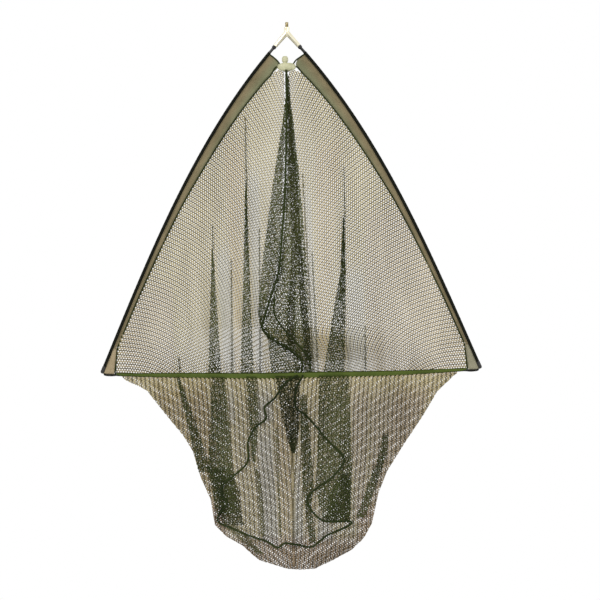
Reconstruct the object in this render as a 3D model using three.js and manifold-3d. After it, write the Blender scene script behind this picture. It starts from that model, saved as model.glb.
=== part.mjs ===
// Landing net head: spreader block with a threaded stud, two curved arms in fabric
// sleeves, a taped front cord and a deep mesh bag with a drawcord and cord lock.
// Millimetres. +Z up, +X to the right, the mouth lies in the plane y = 0 and faces -Y.
// The origin is the centre of the stud's flat end, which holds the net up.
import * as THREE from 'three';
import { mergeVertices } from 'three/addons/utils/BufferGeometryUtils.js';
import Module from 'manifold-3d';

const wasm = await Module();
wasm.setup();

// Stud and spreader block
const STUD_DIAMETER = 9.525;
const STUD_LENGTH = 14;
const STUD_IN_BLOCK = 9;
const BOSS_DIAMETER = 15;
const HUB_Z = -29;
const LEG_ANGLE = 41.5;
const LEG_LENGTH = 50;
const LEG_ROOT_DIAMETER = 15;
const LEG_MOUTH_DIAMETER = 12.4;
const SOCKET_DEPTH = 30;

// Arms
const ROD_DIAMETER = 8;
const ROD_IN_SOCKET = 28;
const ARM_LENGTH = 1030;
const TIP_ANGLE = 22.9;
const BEND_POWER = 2.2;
const COLLAR_LENGTH = 8;
const COLLAR_DIAMETER = 12;
const CAP_DIAMETER = 12;
const CAP_LENGTH = 20;
const GAP = 0.3;

// Sleeves: distance along the arm and width measured in from the arm's centre
const SLEEVE_START = 24;
const SLEEVE_END = 1004;
const TUNNEL_DIAMETER = 11.2;
const WEB_THICKNESS = 2.4;
const PIPING_DIAMETER = 4.6;
const GUSSET_START = 958;
const WEB_WIDTHS = [[38, 7], [60, 38.5], [190, 32], [400, 24], [515, 18], [800, 12.5], [955, 11.5]];
const GUSSET_WIDTHS = [[958, 11.5], [985, 18], [1004, 26]];

// Front cord and its tape
const HEM_Z = -976;
const HEM_SAG = 10;
const HEM_HALF_WIDTH = 476;
const HEM_HEIGHT_MIDDLE = 20;
const HEM_HEIGHT_END = 10;
const HEM_THICKNESS = 7.6;
const CORD_DIAMETER = 5;

// Mesh bag: half width at each height below the front cord, then its depth
const BAG_HALF_WIDTHS = [
  [-985, 458], [-1021, 418], [-1066, 381], [-1110, 349], [-1177, 301],
  [-1244, 268], [-1330, 232], [-1401, 213], [-1445, 184], [-1490, 130], [-1530, 40],
];
const BACK_DEPTHS = [[-182, 10], [-300, 30], [-600, 74], [-985, 118], [-1200, 132], [-1330, 126]];
const BACK_SIDES = [[-182, 1.5], [-900, 1.5], [-950, 5], [-1010, 5], [-1070, 1.5], [-1330, 1.5]];
const FRONT_DEPTHS = [[-985, 0], [-1110, 14], [-1330, 34]];
const BACK_TOP_Z = -182;
const BASE_TOP_Z = -1330;
const BASE_BOTTOM_Z = -1530;
const PANEL_THICKNESS = 2;
const SIDE_GAP = 1.5;
const SEAM_DIAMETER = 5;

// Drawcord and cord lock
const LOCK_X = -2.5;
const LOCK_WIDTH = 49;
const LOCK_TOP_Z = -115.5;
const LOCK_BOTTOM_Z = -136;
const LOCK_DEPTH = 18;
const PLUNGER_X = -6;
const STEM_DIAMETER = 11.4;
const BUTTON_DIAMETER = 18;
const CHANNEL_Z = -122;

const chrome = new THREE.MeshStandardMaterial({ color: 0xe6e0cc, roughness: 0.18, metalness: 1 });
const brass = new THREE.MeshStandardMaterial({ color: 0xb9a56a, roughness: 0.3, metalness: 1 });
const gloss = new THREE.MeshStandardMaterial({ color: 0x0d0d0c, roughness: 0.2, metalness: 0 });
const black = new THREE.MeshStandardMaterial({ color: 0x14140f, roughness: 0.8, metalness: 0 });
const olive = new THREE.MeshStandardMaterial({ color: 0x6d6f4d, roughness: 0.9, metalness: 0 });
const tan = new THREE.MeshStandardMaterial({ color: 0x8b7f61, roughness: 0.9, metalness: 0 });
const green = new THREE.MeshStandardMaterial({ color: 0x2c3216, roughness: 0.9, metalness: 0 });
const tape = new THREE.MeshStandardMaterial({ color: 0x4c5a2c, roughness: 0.9, metalness: 0 });
const mesh = new THREE.MeshStandardMaterial({ color: 0x9d9473, roughness: 0.9, metalness: 0 });
const cream = new THREE.MeshStandardMaterial({ color: 0xb9b48c, roughness: 0.5, metalness: 0 });
const steel = new THREE.MeshStandardMaterial({ color: 0xb8b8b4, roughness: 0.3, metalness: 1 });

const net = new THREE.Group();
net.name = 'landing_net';

function put(name, geometry, material, parent = net) {
  const item = new THREE.Mesh(geometry, material);
  item.name = name;
  parent.add(item);
  return item;
}

// Straight lines between [at, value] pairs
function between(pairs, at) {
  const rising = pairs[pairs.length - 1][0] > pairs[0][0];
  for (let i = 1; i < pairs.length; i += 1) {
    const [a, low] = pairs[i - 1];
    const [b, high] = pairs[i];
    const inside = rising ? at <= b : at >= b;
    if (inside || i === pairs.length - 1) {
      const share = Math.min(1, Math.max(0, (at - a) / (b - a)));
      return low + (high - low) * share;
    }
  }
  return pairs[0][1];
}

// Boolean solids
function solid(geometry, matrix = new THREE.Matrix4()) {
  let g = geometry.clone();
  g.deleteAttribute('normal');
  g.deleteAttribute('uv');
  g.applyMatrix4(matrix);
  g = mergeVertices(g, 1e-4);
  return new wasm.Manifold(new wasm.Mesh({
    numProp: 3,
    vertProperties: new Float32Array(g.attributes.position.array),
    triVerts: new Uint32Array(g.index.array),
  }));
}

function toGeometry(manifold) {
  const out = manifold.getMesh();
  const g = new THREE.BufferGeometry();
  g.setAttribute('position', new THREE.BufferAttribute(new Float32Array(out.vertProperties), 3));
  g.setIndex(new THREE.BufferAttribute(new Uint32Array(out.triVerts), 1));
  const flat = g.toNonIndexed();
  flat.computeVertexNormals();
  return flat;
}

// A round bar from one point to another, as a solid
function bar(from, to, radiusFrom, radiusTo, sides = 20) {
  const a = new THREE.Vector3(...from);
  const b = new THREE.Vector3(...to);
  const g = new THREE.CylinderGeometry(radiusTo, radiusFrom, a.distanceTo(b), sides);
  const turn = new THREE.Quaternion().setFromUnitVectors(
    new THREE.Vector3(0, 1, 0),
    b.clone().sub(a).normalize(),
  );
  const middle = a.clone().add(b).multiplyScalar(0.5);
  return solid(g, new THREE.Matrix4().compose(middle, turn, new THREE.Vector3(1, 1, 1)));
}

function box(low, high) {
  const g = new THREE.BoxGeometry(high[0] - low[0], high[1] - low[1], high[2] - low[2]);
  const m = new THREE.Matrix4().makeTranslation(
    (low[0] + high[0]) / 2,
    (low[1] + high[1]) / 2,
    (low[2] + high[2]) / 2,
  );
  return solid(g, m);
}

// A round cord or tube along points, hollow when an inner diameter is given
function cord(points, diameter, steps, sides = 10, innerDiameter = 0) {
  const path = new THREE.CatmullRomCurve3(points.map((p) => new THREE.Vector3(...p)));
  const shape = new THREE.Shape();
  shape.absarc(0, 0, diameter / 2, 0, Math.PI * 2);
  if (innerDiameter > 0) {
    const hole = new THREE.Path();
    hole.absarc(0, 0, innerDiameter / 2, 0, Math.PI * 2);
    shape.holes.push(hole);
  }
  return new THREE.ExtrudeGeometry(shape, {
    extrudePath: path,
    steps,
    curveSegments: sides,
  });
}

// The right arm's centre line, its direction and the way in towards the net
const MOUTH_X = Math.sin(THREE.MathUtils.degToRad(LEG_ANGLE)) * LEG_LENGTH;
const MOUTH_Z = HUB_Z - Math.cos(THREE.MathUtils.degToRad(LEG_ANGLE)) * LEG_LENGTH;
const ARM_POINTS = [];

function armAngle(s) {
  const share = Math.min(1, Math.max(0, s / ARM_LENGTH));
  const bend = (LEG_ANGLE - TIP_ANGLE) * (1 - share) ** BEND_POWER;
  return THREE.MathUtils.degToRad(TIP_ANGLE + bend);
}

function buildArmPoints() {
  let x = MOUTH_X;
  let z = MOUTH_Z;
  for (let s = 0; s <= ARM_LENGTH + 10; s += 1) {
    ARM_POINTS.push([x, z]);
    x += Math.sin(armAngle(s + 0.5));
    z -= Math.cos(armAngle(s + 0.5));
  }
}

// A point beside the arm: s along it, w in from its centre
function beside(s, w) {
  const angle = armAngle(s);
  const straight = Math.min(0, s);
  const [x, z] = ARM_POINTS[Math.round(Math.max(0, s))];
  return [
    x + Math.sin(angle) * straight - Math.cos(angle) * w,
    z - Math.cos(angle) * straight - Math.sin(angle) * w,
  ];
}

function along(from, to, count, width = () => 0) {
  const points = [];
  for (let i = 0; i <= count; i += 1) {
    const s = from + ((to - from) * i) / count;
    const [x, z] = beside(s, width(s));
    points.push([x, 0, z]);
  }
  return points;
}

const mirrored = (points, side) => points.map(([x, y, z]) => [x * side, y, z]);

// A flat plate of the given thickness from an outline in the mouth plane
function plate(outline, thickness, side) {
  const shape = new THREE.Shape(outline.map(([x, z]) => new THREE.Vector2(x * side, z)));
  const g = new THREE.ExtrudeGeometry(shape, { depth: thickness, bevelEnabled: false });
  g.translate(0, 0, -thickness / 2);
  g.rotateX(Math.PI / 2);
  return g;
}

const sleeveWidth = (s) => (s < GUSSET_START ? between(WEB_WIDTHS, s) : between(GUSSET_WIDTHS, s));
const pipingWidth = (s) => sleeveWidth(s) + PIPING_DIAMETER / 2 + GAP + 0.2;

buildArmPoints();

// Spreader block: a boss for the stud and two legs, each with a socket
function spreaderBlock() {
  const angle = THREE.MathUtils.degToRad(LEG_ANGLE);
  let body = bar([0, 0, HUB_Z], [0, 0, -STUD_LENGTH], LEG_ROOT_DIAMETER / 2, BOSS_DIAMETER / 2);
  body = body.add(solid(
    new THREE.SphereGeometry(LEG_ROOT_DIAMETER / 2, 20, 12),
    new THREE.Matrix4().makeTranslation(0, 0, HUB_Z),
  ));
  const legPoint = (side, d) => [
    side * Math.sin(angle) * d,
    0,
    HUB_Z - Math.cos(angle) * d,
  ];
  for (const side of [-1, 1]) {
    body = body.add(bar(
      legPoint(side, 0),
      legPoint(side, LEG_LENGTH),
      LEG_ROOT_DIAMETER / 2,
      LEG_MOUTH_DIAMETER / 2,
    ));
  }
  for (const side of [-1, 1]) {
    body = body.subtract(bar(
      legPoint(side, LEG_LENGTH - SOCKET_DEPTH),
      legPoint(side, LEG_LENGTH + 2),
      ROD_DIAMETER / 2 + GAP,
      ROD_DIAMETER / 2 + GAP,
    ));
  }
  return body.subtract(bar(
    [0, 0, -STUD_LENGTH - STUD_IN_BLOCK - GAP],
    [0, 0, -STUD_LENGTH + 2],
    STUD_DIAMETER / 2 + GAP,
    STUD_DIAMETER / 2 + GAP,
  ));
}

put('spreader_block', toGeometry(spreaderBlock()), chrome);

const studRadius = STUD_DIAMETER / 2;
const stud = new THREE.LatheGeometry([
  new THREE.Vector2(0, -STUD_IN_BLOCK),
  new THREE.Vector2(studRadius, -STUD_IN_BLOCK),
  new THREE.Vector2(studRadius, STUD_LENGTH - 1),
  new THREE.Vector2(studRadius - 1, STUD_LENGTH),
  new THREE.Vector2(0, STUD_LENGTH),
], 28);
const studMesh = put('handle_stud', stud, brass);
studMesh.position.set(0, 0, -STUD_LENGTH);
studMesh.rotation.x = Math.PI / 2;

// A round cap that closes the arm's end, with a cross hole for the front cord
function tipCap(side) {
  const [x, z] = beside(ARM_LENGTH, 0);
  const angle = armAngle(ARM_LENGTH);
  const r = CAP_DIAMETER / 2;
  const profile = [new THREE.Vector2(0, 7.6), new THREE.Vector2(ROD_DIAMETER / 2 + GAP, 7.6)];
  profile.push(new THREE.Vector2(ROD_DIAMETER / 2 + GAP, CAP_LENGTH));
  profile.push(new THREE.Vector2(r, CAP_LENGTH));
  for (let i = 0; i <= 6; i += 1) {
    const turn = (i * Math.PI) / 12;
    profile.push(new THREE.Vector2(r * Math.cos(turn), r - r * Math.sin(turn)));
  }
  profile[profile.length - 1].x = 0;
  const g = new THREE.LatheGeometry(profile.reverse(), 24);
  const turn = new THREE.Quaternion().setFromUnitVectors(
    new THREE.Vector3(0, 1, 0),
    new THREE.Vector3(-Math.sin(angle) * side, 0, Math.cos(angle)),
  );
  const base = new THREE.Vector3(side * (x + Math.sin(angle) * 8), 0, z - Math.cos(angle) * 8);
  let cap = solid(g, new THREE.Matrix4().compose(base, turn, new THREE.Vector3(1, 1, 1)));
  const holeRadius = CORD_DIAMETER / 2 + GAP;
  const holeZ = HEM_Z - 2;
  cap = cap.subtract(bar([side * x, 0, holeZ], [side * (x - 20), 0, holeZ], holeRadius, holeRadius, 16));
  return toGeometry(cap);
}

// One side of the net frame: everything that leaves the socket with the arm
for (const [word, side] of [['left', -1], ['right', 1]]) {
  const rodPath = mirrored(along(-ROD_IN_SOCKET, ARM_LENGTH, 26), side);
  put(`${word}_arm_rod`, cord(rodPath, ROD_DIAMETER, 26, 6), gloss);

  const collarPath = mirrored(along(2 * GAP, COLLAR_LENGTH, 2), side);
  const collar = cord(collarPath, COLLAR_DIAMETER, 2, 10, ROD_DIAMETER + 2 * GAP + 0.1);
  put(`${word}_arm_collar`, collar, gloss);

  put(`${word}_tip_cap`, tipCap(side), gloss);

  const tunnelPath = mirrored(along(SLEEVE_START, SLEEVE_END, 24), side);
  const tunnel = cord(tunnelPath, TUNNEL_DIAMETER, 24, 6, ROD_DIAMETER + 2 * GAP + 0.3);
  put(`${word}_sleeve_tunnel`, tunnel, black);

  const seamIn = TUNNEL_DIAMETER / 2 + GAP;
  const webOutline = [];
  for (let i = 0; i <= 22; i += 1) {
    webOutline.push(beside(WEB_WIDTHS[0][0] + i * 41.7, seamIn));
  }
  for (let i = WEB_WIDTHS.length - 1; i > 0; i -= 1) {
    const [from, to] = [WEB_WIDTHS[i][0], WEB_WIDTHS[i - 1][0]];
    const pieces = Math.max(1, Math.round((from - to) / 50));
    for (let j = 0; j < pieces; j += 1) {
      const s = from + ((to - from) * j) / pieces;
      webOutline.push(beside(s, sleeveWidth(s)));
    }
  }
  put(`${word}_sleeve_web`, plate(webOutline, WEB_THICKNESS, side), olive);

  const gussetOutline = [beside(GUSSET_START, seamIn), beside(GUSSET_WIDTHS[2][0], seamIn)];
  for (let i = GUSSET_WIDTHS.length - 1; i >= 0; i -= 1) {
    gussetOutline.push(beside(GUSSET_WIDTHS[i][0], GUSSET_WIDTHS[i][1]));
  }
  put(`${word}_corner_gusset`, plate(gussetOutline, WEB_THICKNESS, side), tan);

  const top = beside(WEB_WIDTHS[1][0], pipingWidth(WEB_WIDTHS[1][0]));
  const piping = [
    [LOCK_X * side + LOCK_WIDTH / 2 + 2, 0, CHANNEL_Z - 8],
    [top[0] - 3, 0, top[1] + 3],
    ...along(80, SLEEVE_END, 22, pipingWidth),
  ];
  put(`${word}_sleeve_piping`, cord(mirrored(piping, side), PIPING_DIAMETER, 36, 4), green);

  const [tipX] = beside(ARM_LENGTH, 0);
  const endPath = [
    [tipX - 1, 0, HEM_Z - 2],
    [tipX - 22, 0, HEM_Z - 2.2],
    [HEM_HALF_WIDTH + 3, 0, HEM_Z - 0.4],
  ];
  put(`${word}_cord_end`, cord(mirrored(endPath, side), CORD_DIAMETER, 6, 5), black);
}

// Front cord inside its folded tape
const hemSag = (x) => HEM_Z - HEM_SAG * (1 - (x / HEM_HALF_WIDTH) ** 2);
const hemHalf = (x) => {
  const share = (x / HEM_HALF_WIDTH) ** 2;
  return (HEM_HEIGHT_MIDDLE + (HEM_HEIGHT_END - HEM_HEIGHT_MIDDLE) * share) / 2;
};

function acrossHem(half, count) {
  const points = [];
  for (let i = 0; i <= count; i += 1) {
    const x = -half + (2 * half * i) / count;
    points.push([x, 0, hemSag(x)]);
  }
  return points;
}

function frontHem() {
  const outline = [];
  const middle = acrossHem(HEM_HALF_WIDTH, 16);
  for (const [x, , z] of middle) {
    outline.push([x, z + hemHalf(x)]);
  }
  for (const [x, , z] of middle.reverse()) {
    outline.push([x, z - hemHalf(x)]);
  }
  const outer = solid(plate(outline, HEM_THICKNESS, 1));
  const path = acrossHem(HEM_HALF_WIDTH + 4, 24);
  const inner = solid(cord(path, CORD_DIAMETER + 2 * GAP + 0.3, 24, 4));
  return outer.subtract(inner);
}

put('front_cord', cord(acrossHem(HEM_HALF_WIDTH, 24), CORD_DIAMETER, 24, 4), black);
put('front_hem', toGeometry(frontHem()), tape);

// Half width of the bag at a height
const EDGE_POINTS = along(50, SLEEVE_END, 42, (s) => pipingWidth(s) + PIPING_DIAMETER / 2 + 2.5);
const EDGE = EDGE_POINTS.map(([x, , z]) => [z, Math.min(x, HEM_HALF_WIDTH - 8)]);

function halfWidth(z) {
  if (z > BAG_HALF_WIDTHS[0][0]) {
    return between([...EDGE, BAG_HALF_WIDTHS[0]], z);
  }
  return between(BAG_HALF_WIDTHS, z);
}

const bulge = (u) => 1 - u * u;
const backY = (u, z) => between(BACK_SIDES, z) + between(BACK_DEPTHS, z) * bulge(u);
const frontY = (u, z) => -SIDE_GAP - between(FRONT_DEPTHS, z) * bulge(u);

// A closed thin sheet between two grids of points
function sheet(inner, outer, columns, rows) {
  const positions = [];
  const index = [];
  for (const face of [inner, outer]) {
    for (let j = 0; j <= rows; j += 1) {
      for (let i = 0; i <= columns; i += 1) {
        positions.push(...face(i / columns, j / rows));
      }
    }
  }
  const wide = columns + 1;
  const far = wide * (rows + 1);
  const quad = (a, b, c, d) => index.push(a, b, c, a, c, d);
  for (let j = 0; j < rows; j += 1) {
    for (let i = 0; i < columns; i += 1) {
      const a = j * wide + i;
      quad(a, a + wide, a + wide + 1, a + 1);
      quad(far + a, far + a + 1, far + a + wide + 1, far + a + wide);
    }
  }
  for (let i = 0; i < columns; i += 1) {
    const last = rows * wide + i;
    quad(i, i + 1, far + i + 1, far + i);
    quad(last + 1, last, far + last, far + last + 1);
  }
  for (let j = 0; j < rows; j += 1) {
    const left = j * wide;
    const right = left + columns;
    quad(left + wide, left, far + left, far + left + wide);
    quad(right, right + wide, far + right + wide, far + right);
  }
  const g = new THREE.BufferGeometry();
  g.setAttribute('position', new THREE.Float32BufferAttribute(positions, 3));
  g.setIndex(index);
  g.computeVertexNormals();
  return g;
}

// Back panels: two halves that meet on the centre line, hung from the sleeves
for (const [word, side] of [['left', -1], ['right', 1]]) {
  const spot = (a, b, out) => {
    const z = BACK_TOP_Z + (BASE_TOP_Z + 1 - BACK_TOP_Z) * b;
    const u = side < 0 ? a - 1 : a;
    const x = u * halfWidth(z) + side * 0.2;
    return [x, backY(u, z) + out, z];
  };
  const panel = sheet(
    (a, b) => spot(a, b, 0),
    (a, b) => spot(a, b, PANEL_THICKNESS),
    6,
    24,
  );
  put(`net_back_${word}`, panel, mesh);
}

// Front panel: hangs from the taped cord down to the base
const frontTop = (x) => hemSag(x) - hemHalf(x) - 0.6;
const frontSpot = (a, b, out) => {
  const u = 2 * a - 1;
  const topX = u * BAG_HALF_WIDTHS[0][1];
  const topZ = frontTop(topX);
  const z = topZ + (BASE_TOP_Z + 1 - topZ) * b;
  return [u * halfWidth(Math.min(z, BAG_HALF_WIDTHS[0][0])), frontY(u, z) - out, z];
};
const frontPanel = sheet(
  (a, b) => frontSpot(a, b, PANEL_THICKNESS),
  (a, b) => frontSpot(a, b, 0),
  14,
  10,
);
put('net_front', frontPanel, mesh);

// Base panel: a rounded pouch that joins the back panels to the front panel
const baseSpot = (a, b, out) => {
  const turn = Math.PI * b;
  const drop = (BASE_TOP_Z - BASE_BOTTOM_Z) * Math.sin(turn);
  const z = BASE_TOP_Z - drop;
  const u = 2 * a - 1;
  const back = backY(u, BASE_TOP_Z);
  const front = frontY(u, BASE_TOP_Z);
  const middle = (back + front) / 2;
  const reach = (back - front) / 2 + out;
  return [u * halfWidth(z), middle + reach * Math.cos(turn), z - out * Math.sin(turn)];
};
const basePanel = sheet(
  (a, b) => baseSpot(a, b, 0),
  (a, b) => baseSpot(a, b, PANEL_THICKNESS),
  12,
  16,
);
put('net_base', basePanel, mesh);

// The spine's seam cord lies on the inner face of the back panels
const SEAM_CLEAR = SEAM_DIAMETER / 2 + 3.2;

function spinePoint([x, z]) {
  return [x, backY(x / halfWidth(z), z) - SEAM_CLEAR, z];
}

// The base's seam cords lie on the outer face of the front and base panels
function loopPoint([x, z]) {
  const u = Math.max(-1, Math.min(1, x / halfWidth(z)));
  const clear = SEAM_CLEAR + PANEL_THICKNESS;
  if (z > BASE_TOP_Z) {
    return [x, frontY(u, z) - clear, z];
  }
  const turn = Math.asin((BASE_TOP_Z - z) / (BASE_TOP_Z - BASE_BOTTOM_Z));
  const back = backY(u, BASE_TOP_Z);
  const front = frontY(u, BASE_TOP_Z);
  const y = (back + front) / 2 - ((back - front) / 2 + clear) * Math.cos(turn);
  return [x, y, z - clear * Math.sin(turn)];
}

function seam(points, place) {
  const curve = new THREE.CatmullRomCurve3(points.map(([x, z]) => new THREE.Vector3(x, 0, z)));
  return curve.getSpacedPoints(points.length * 4).map((p) => place([p.x, p.z]));
}

const SPINE_ROUTE = [
  [-3, -184], [-4, -273], [-11, -460], [-22, -600], [-32, -692], [-54, -761], [-76, -830],
  [-80, -853], [-63, -877], [-26, -903], [6, -924], [26, -948], [27, -985],
];
const LEFT_LOOP = [
  [-6, -1001], [-22, -1015], [-46, -1046], [-72, -1073], [-78, -1104], [-103, -1132],
  [-122, -1170], [-124, -1207], [-134, -1236], [-161, -1260], [-190, -1284], [-196, -1312],
  [-190, -1340], [-203, -1366], [-198, -1390], [-170, -1406], [-118, -1428], [-74, -1443],
  [-46, -1452], [-30, -1450],
];
const RIGHT_LOOP = [
  [26, -1003], [14, -1026], [15, -1066], [37, -1094], [70, -1131], [97, -1165], [136, -1205],
  [136, -1234], [107, -1269], [58, -1307], [48, -1342], [83, -1384], [140, -1390],
  [146, -1405], [94, -1430], [51, -1452], [15, -1451], [-18, -1449],
];
put('spine_seam_cord', cord(seam(SPINE_ROUTE, spinePoint), SEAM_DIAMETER, 40, 4), green);
put('base_seam_left', cord(seam(LEFT_LOOP, loopPoint), SEAM_DIAMETER, 60, 4), green);
put('base_seam_right', cord(seam(RIGHT_LOOP, loopPoint), SEAM_DIAMETER, 60, 4), green);

// Cord lock: an oval body with a button that the spring pushes up
function lockBody() {
  const height = LOCK_TOP_Z - LOCK_BOTTOM_Z;
  const middle = (LOCK_TOP_Z + LOCK_BOTTOM_Z) / 2;
  const shape = new THREE.SphereGeometry(1, 20, 12);
  const place = new THREE.Matrix4().makeTranslation(LOCK_X, 0, middle);
  place.scale(new THREE.Vector3(LOCK_WIDTH / 2, LOCK_DEPTH / 2, height * 0.62));
  let body = solid(shape, place);
  body = body.intersect(box([-60, -30, LOCK_BOTTOM_Z], [60, 30, LOCK_TOP_Z]));
  const bore = STEM_DIAMETER / 2 + GAP;
  body = body.subtract(bar(
    [PLUNGER_X, 0, LOCK_BOTTOM_Z + 2.6],
    [PLUNGER_X, 0, LOCK_TOP_Z + 2],
    bore,
    bore,
  ));
  const channel = CORD_DIAMETER / 2 + GAP;
  return body.subtract(bar([-40, 0, CHANNEL_Z], [40, 0, CHANNEL_Z], channel, channel, 16));
}

function plunger() {
  const stem = STEM_DIAMETER / 2;
  const buttonZ = LOCK_TOP_Z + 3.6 + BUTTON_DIAMETER / 2;
  let body = bar([PLUNGER_X, 0, -127], [PLUNGER_X, 0, buttonZ], stem, stem);
  body = body.add(solid(
    new THREE.SphereGeometry(BUTTON_DIAMETER / 2, 18, 12),
    new THREE.Matrix4().makeTranslation(PLUNGER_X, 0, buttonZ),
  ));
  const half = CORD_DIAMETER / 2 + GAP;
  return body.subtract(box(
    [PLUNGER_X - 12, -half, CHANNEL_Z - half],
    [PLUNGER_X + 12, half, CHANNEL_Z + half + 3.4],
  ));
}

put('cord_lock_body', toGeometry(lockBody()), cream);
put('cord_lock_button', toGeometry(plunger()), cream);

const springPoints = [];
const SPRING_TURNS = 3;
for (let i = 0; i <= SPRING_TURNS * 10; i += 1) {
  const turn = (i * Math.PI) / 5;
  const z = LOCK_BOTTOM_Z + 3.4 + (i * 5) / (SPRING_TURNS * 10);
  springPoints.push([PLUNGER_X + 4 * Math.cos(turn), 4 * Math.sin(turn), z]);
}
put('cord_lock_spring', cord(springPoints, 0.8, SPRING_TURNS * 12, 3), steel);

const [cordX, cordZ] = beside(SLEEVE_START + 2, 9);
const lockLeft = LOCK_X - LOCK_WIDTH / 2;
const lockRight = LOCK_X + LOCK_WIDTH / 2;
put('drawcord', cord([
  [-cordX, 0, cordZ],
  [(lockLeft - cordX) / 2 - 2, 0, (CHANNEL_Z + cordZ) / 2 - 2],
  [lockLeft - 5, 0, CHANNEL_Z + 2.6],
  [lockLeft + 4, 0, CHANNEL_Z],
  [PLUNGER_X, 0, CHANNEL_Z],
  [lockRight - 4, 0, CHANNEL_Z],
  [lockRight + 5, 0, CHANNEL_Z + 2.6],
  [(lockRight + cordX) / 2 + 2, 0, (CHANNEL_Z + cordZ) / 2 - 2],
  [cordX, 0, cordZ],
], CORD_DIAMETER - 0.2, 32, 4), green);

export default net;
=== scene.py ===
import bpy
import math
import numpy as np
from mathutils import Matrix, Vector


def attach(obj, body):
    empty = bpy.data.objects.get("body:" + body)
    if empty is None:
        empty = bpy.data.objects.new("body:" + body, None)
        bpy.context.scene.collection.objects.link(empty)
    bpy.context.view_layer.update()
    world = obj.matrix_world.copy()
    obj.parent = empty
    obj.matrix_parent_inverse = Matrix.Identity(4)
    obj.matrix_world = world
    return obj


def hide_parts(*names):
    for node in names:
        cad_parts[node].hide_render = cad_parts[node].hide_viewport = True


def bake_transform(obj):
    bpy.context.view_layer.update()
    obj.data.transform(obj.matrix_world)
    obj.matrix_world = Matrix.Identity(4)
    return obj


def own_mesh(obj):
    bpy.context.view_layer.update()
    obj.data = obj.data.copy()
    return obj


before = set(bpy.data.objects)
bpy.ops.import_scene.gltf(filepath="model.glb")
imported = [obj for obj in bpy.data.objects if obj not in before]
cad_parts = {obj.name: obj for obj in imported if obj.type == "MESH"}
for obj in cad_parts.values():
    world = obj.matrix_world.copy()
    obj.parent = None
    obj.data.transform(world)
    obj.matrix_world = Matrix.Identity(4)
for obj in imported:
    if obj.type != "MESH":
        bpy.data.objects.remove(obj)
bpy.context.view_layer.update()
MM = 0.001


# ------------------------------------------------------------------ small helpers
def word_of(side):
    """The name of an arm's side, seen from the front: -1 is left and 1 is right."""
    return "right" if side > 0 else "left"


def belongs(obj, body, slot, *nodes):
    """The piece moves with body and stands for these CAD nodes. slot is not used."""
    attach(obj, body)
    if nodes:
        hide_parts(*nodes)
    return obj


def join_up(links, value, socket):
    """value is a number, or a socket that is linked."""
    if isinstance(value, (int, float)):
        socket.default_value = value
    else:
        links.new(value, socket)


def math_node(nodes, links, operation, *values):
    n = nodes.new("ShaderNodeMath")
    n.operation = operation
    for value, socket in zip(values, n.inputs):
        join_up(links, value, socket)
    return n.outputs[0]


def fit(nodes, links, value, to_min, to_max, from_min=0.0, from_max=1.0):
    """value carried from one range to another."""
    n = nodes.new("ShaderNodeMapRange")
    links.new(value, n.inputs["Value"])
    ends = {"From Min": from_min, "From Max": from_max, "To Min": to_min, "To Max": to_max}
    for label, end in ends.items():
        n.inputs[label].default_value = end
    return n.outputs["Result"]


def multiply_color(nodes, links, factor, a, b):
    n = nodes.new("ShaderNodeMix")
    n.data_type = "RGBA"
    n.blend_type = "MULTIPLY"
    join_up(links, factor, n.inputs["Factor"])
    links.new(a, n.inputs["A"])
    if isinstance(b, tuple):
        n.inputs["B"].default_value = b
    else:
        links.new(b, n.inputs["B"])
    return n.outputs["Result"]


def round_angles(count):
    """Even angles round a full turn."""
    return np.linspace(0, 2 * np.pi, count, endpoint=False)


def tube_quads(rings, sides, inward=False):
    """Quads between neighbouring rings of points, closed round each ring."""
    i = np.arange(rings - 1)[:, None] * sides
    j = np.arange(sides)[None, :]
    after = (j + 1) % sides
    if inward:
        corners = [i + j, i + after, i + sides + after, i + sides + j]
    else:
        corners = [i + j, i + sides + j, i + sides + after, i + after]
    return np.stack(corners, -1).reshape(-1, 4)


# ------------------------------------------------------------------ camera
scene = bpy.context.scene
cam_data = bpy.data.cameras.new("Camera")
cam = bpy.data.objects.new("Camera", cam_data)
scene.collection.objects.link(cam)
scene.camera = cam
DISTANCE = 6.5
cam_data.sensor_width = 36
cam_data.lens = 36 * DISTANCE / 1.674
cam_data.clip_end = 60
cam.location = (0.027, -DISTANCE, -0.7755)
cam.rotation_euler = (math.radians(90), math.radians(0.75), 0)

# ------------------------------------------------------------------ light and stage
scene.view_settings.view_transform = "Standard"
world = bpy.data.worlds.new("World")
scene.world = world
world.use_nodes = True
wn, wl = world.node_tree.nodes, world.node_tree.links
background = wn["Background"]
direction = wn.new("ShaderNodeSeparateXYZ")
wl.new(wn.new("ShaderNodeTexCoord").outputs["Generated"], direction.inputs["Vector"])
# the sky lights the net from above and is white wherever it is seen itself
height = fit(wn, wl, direction.outputs["Z"], 0.04, 1.0, -0.62, -0.05)
seen = math_node(wn, wl, "MAXIMUM", height, wn.new("ShaderNodeLightPath").outputs["Is Camera Ray"])
wl.new(seen, background.inputs["Strength"])
background.inputs["Color"].default_value = (1, 1, 1, 1)


def area_light(name, place, target, size, power, color=(1, 1, 1)):
    data = bpy.data.lights.new(name, "AREA")
    data.size = size
    data.energy = power
    data.color = color
    lamp = bpy.data.objects.new(name, data)
    scene.collection.objects.link(lamp)
    lamp.location = place
    way = Vector(target) - Vector(place)
    lamp.rotation_euler = way.to_track_quat("-Z", "Y").to_euler()
    return lamp


area_light("Key", (-2.6, -3.4, 1.6), (0, 0, -0.7), 1.6, 95, (1, 0.99, 0.97))
area_light("Fill", (2.8, -2.6, 0.2), (0, 0, -0.8), 2.2, 30, (0.96, 0.98, 1))


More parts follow.
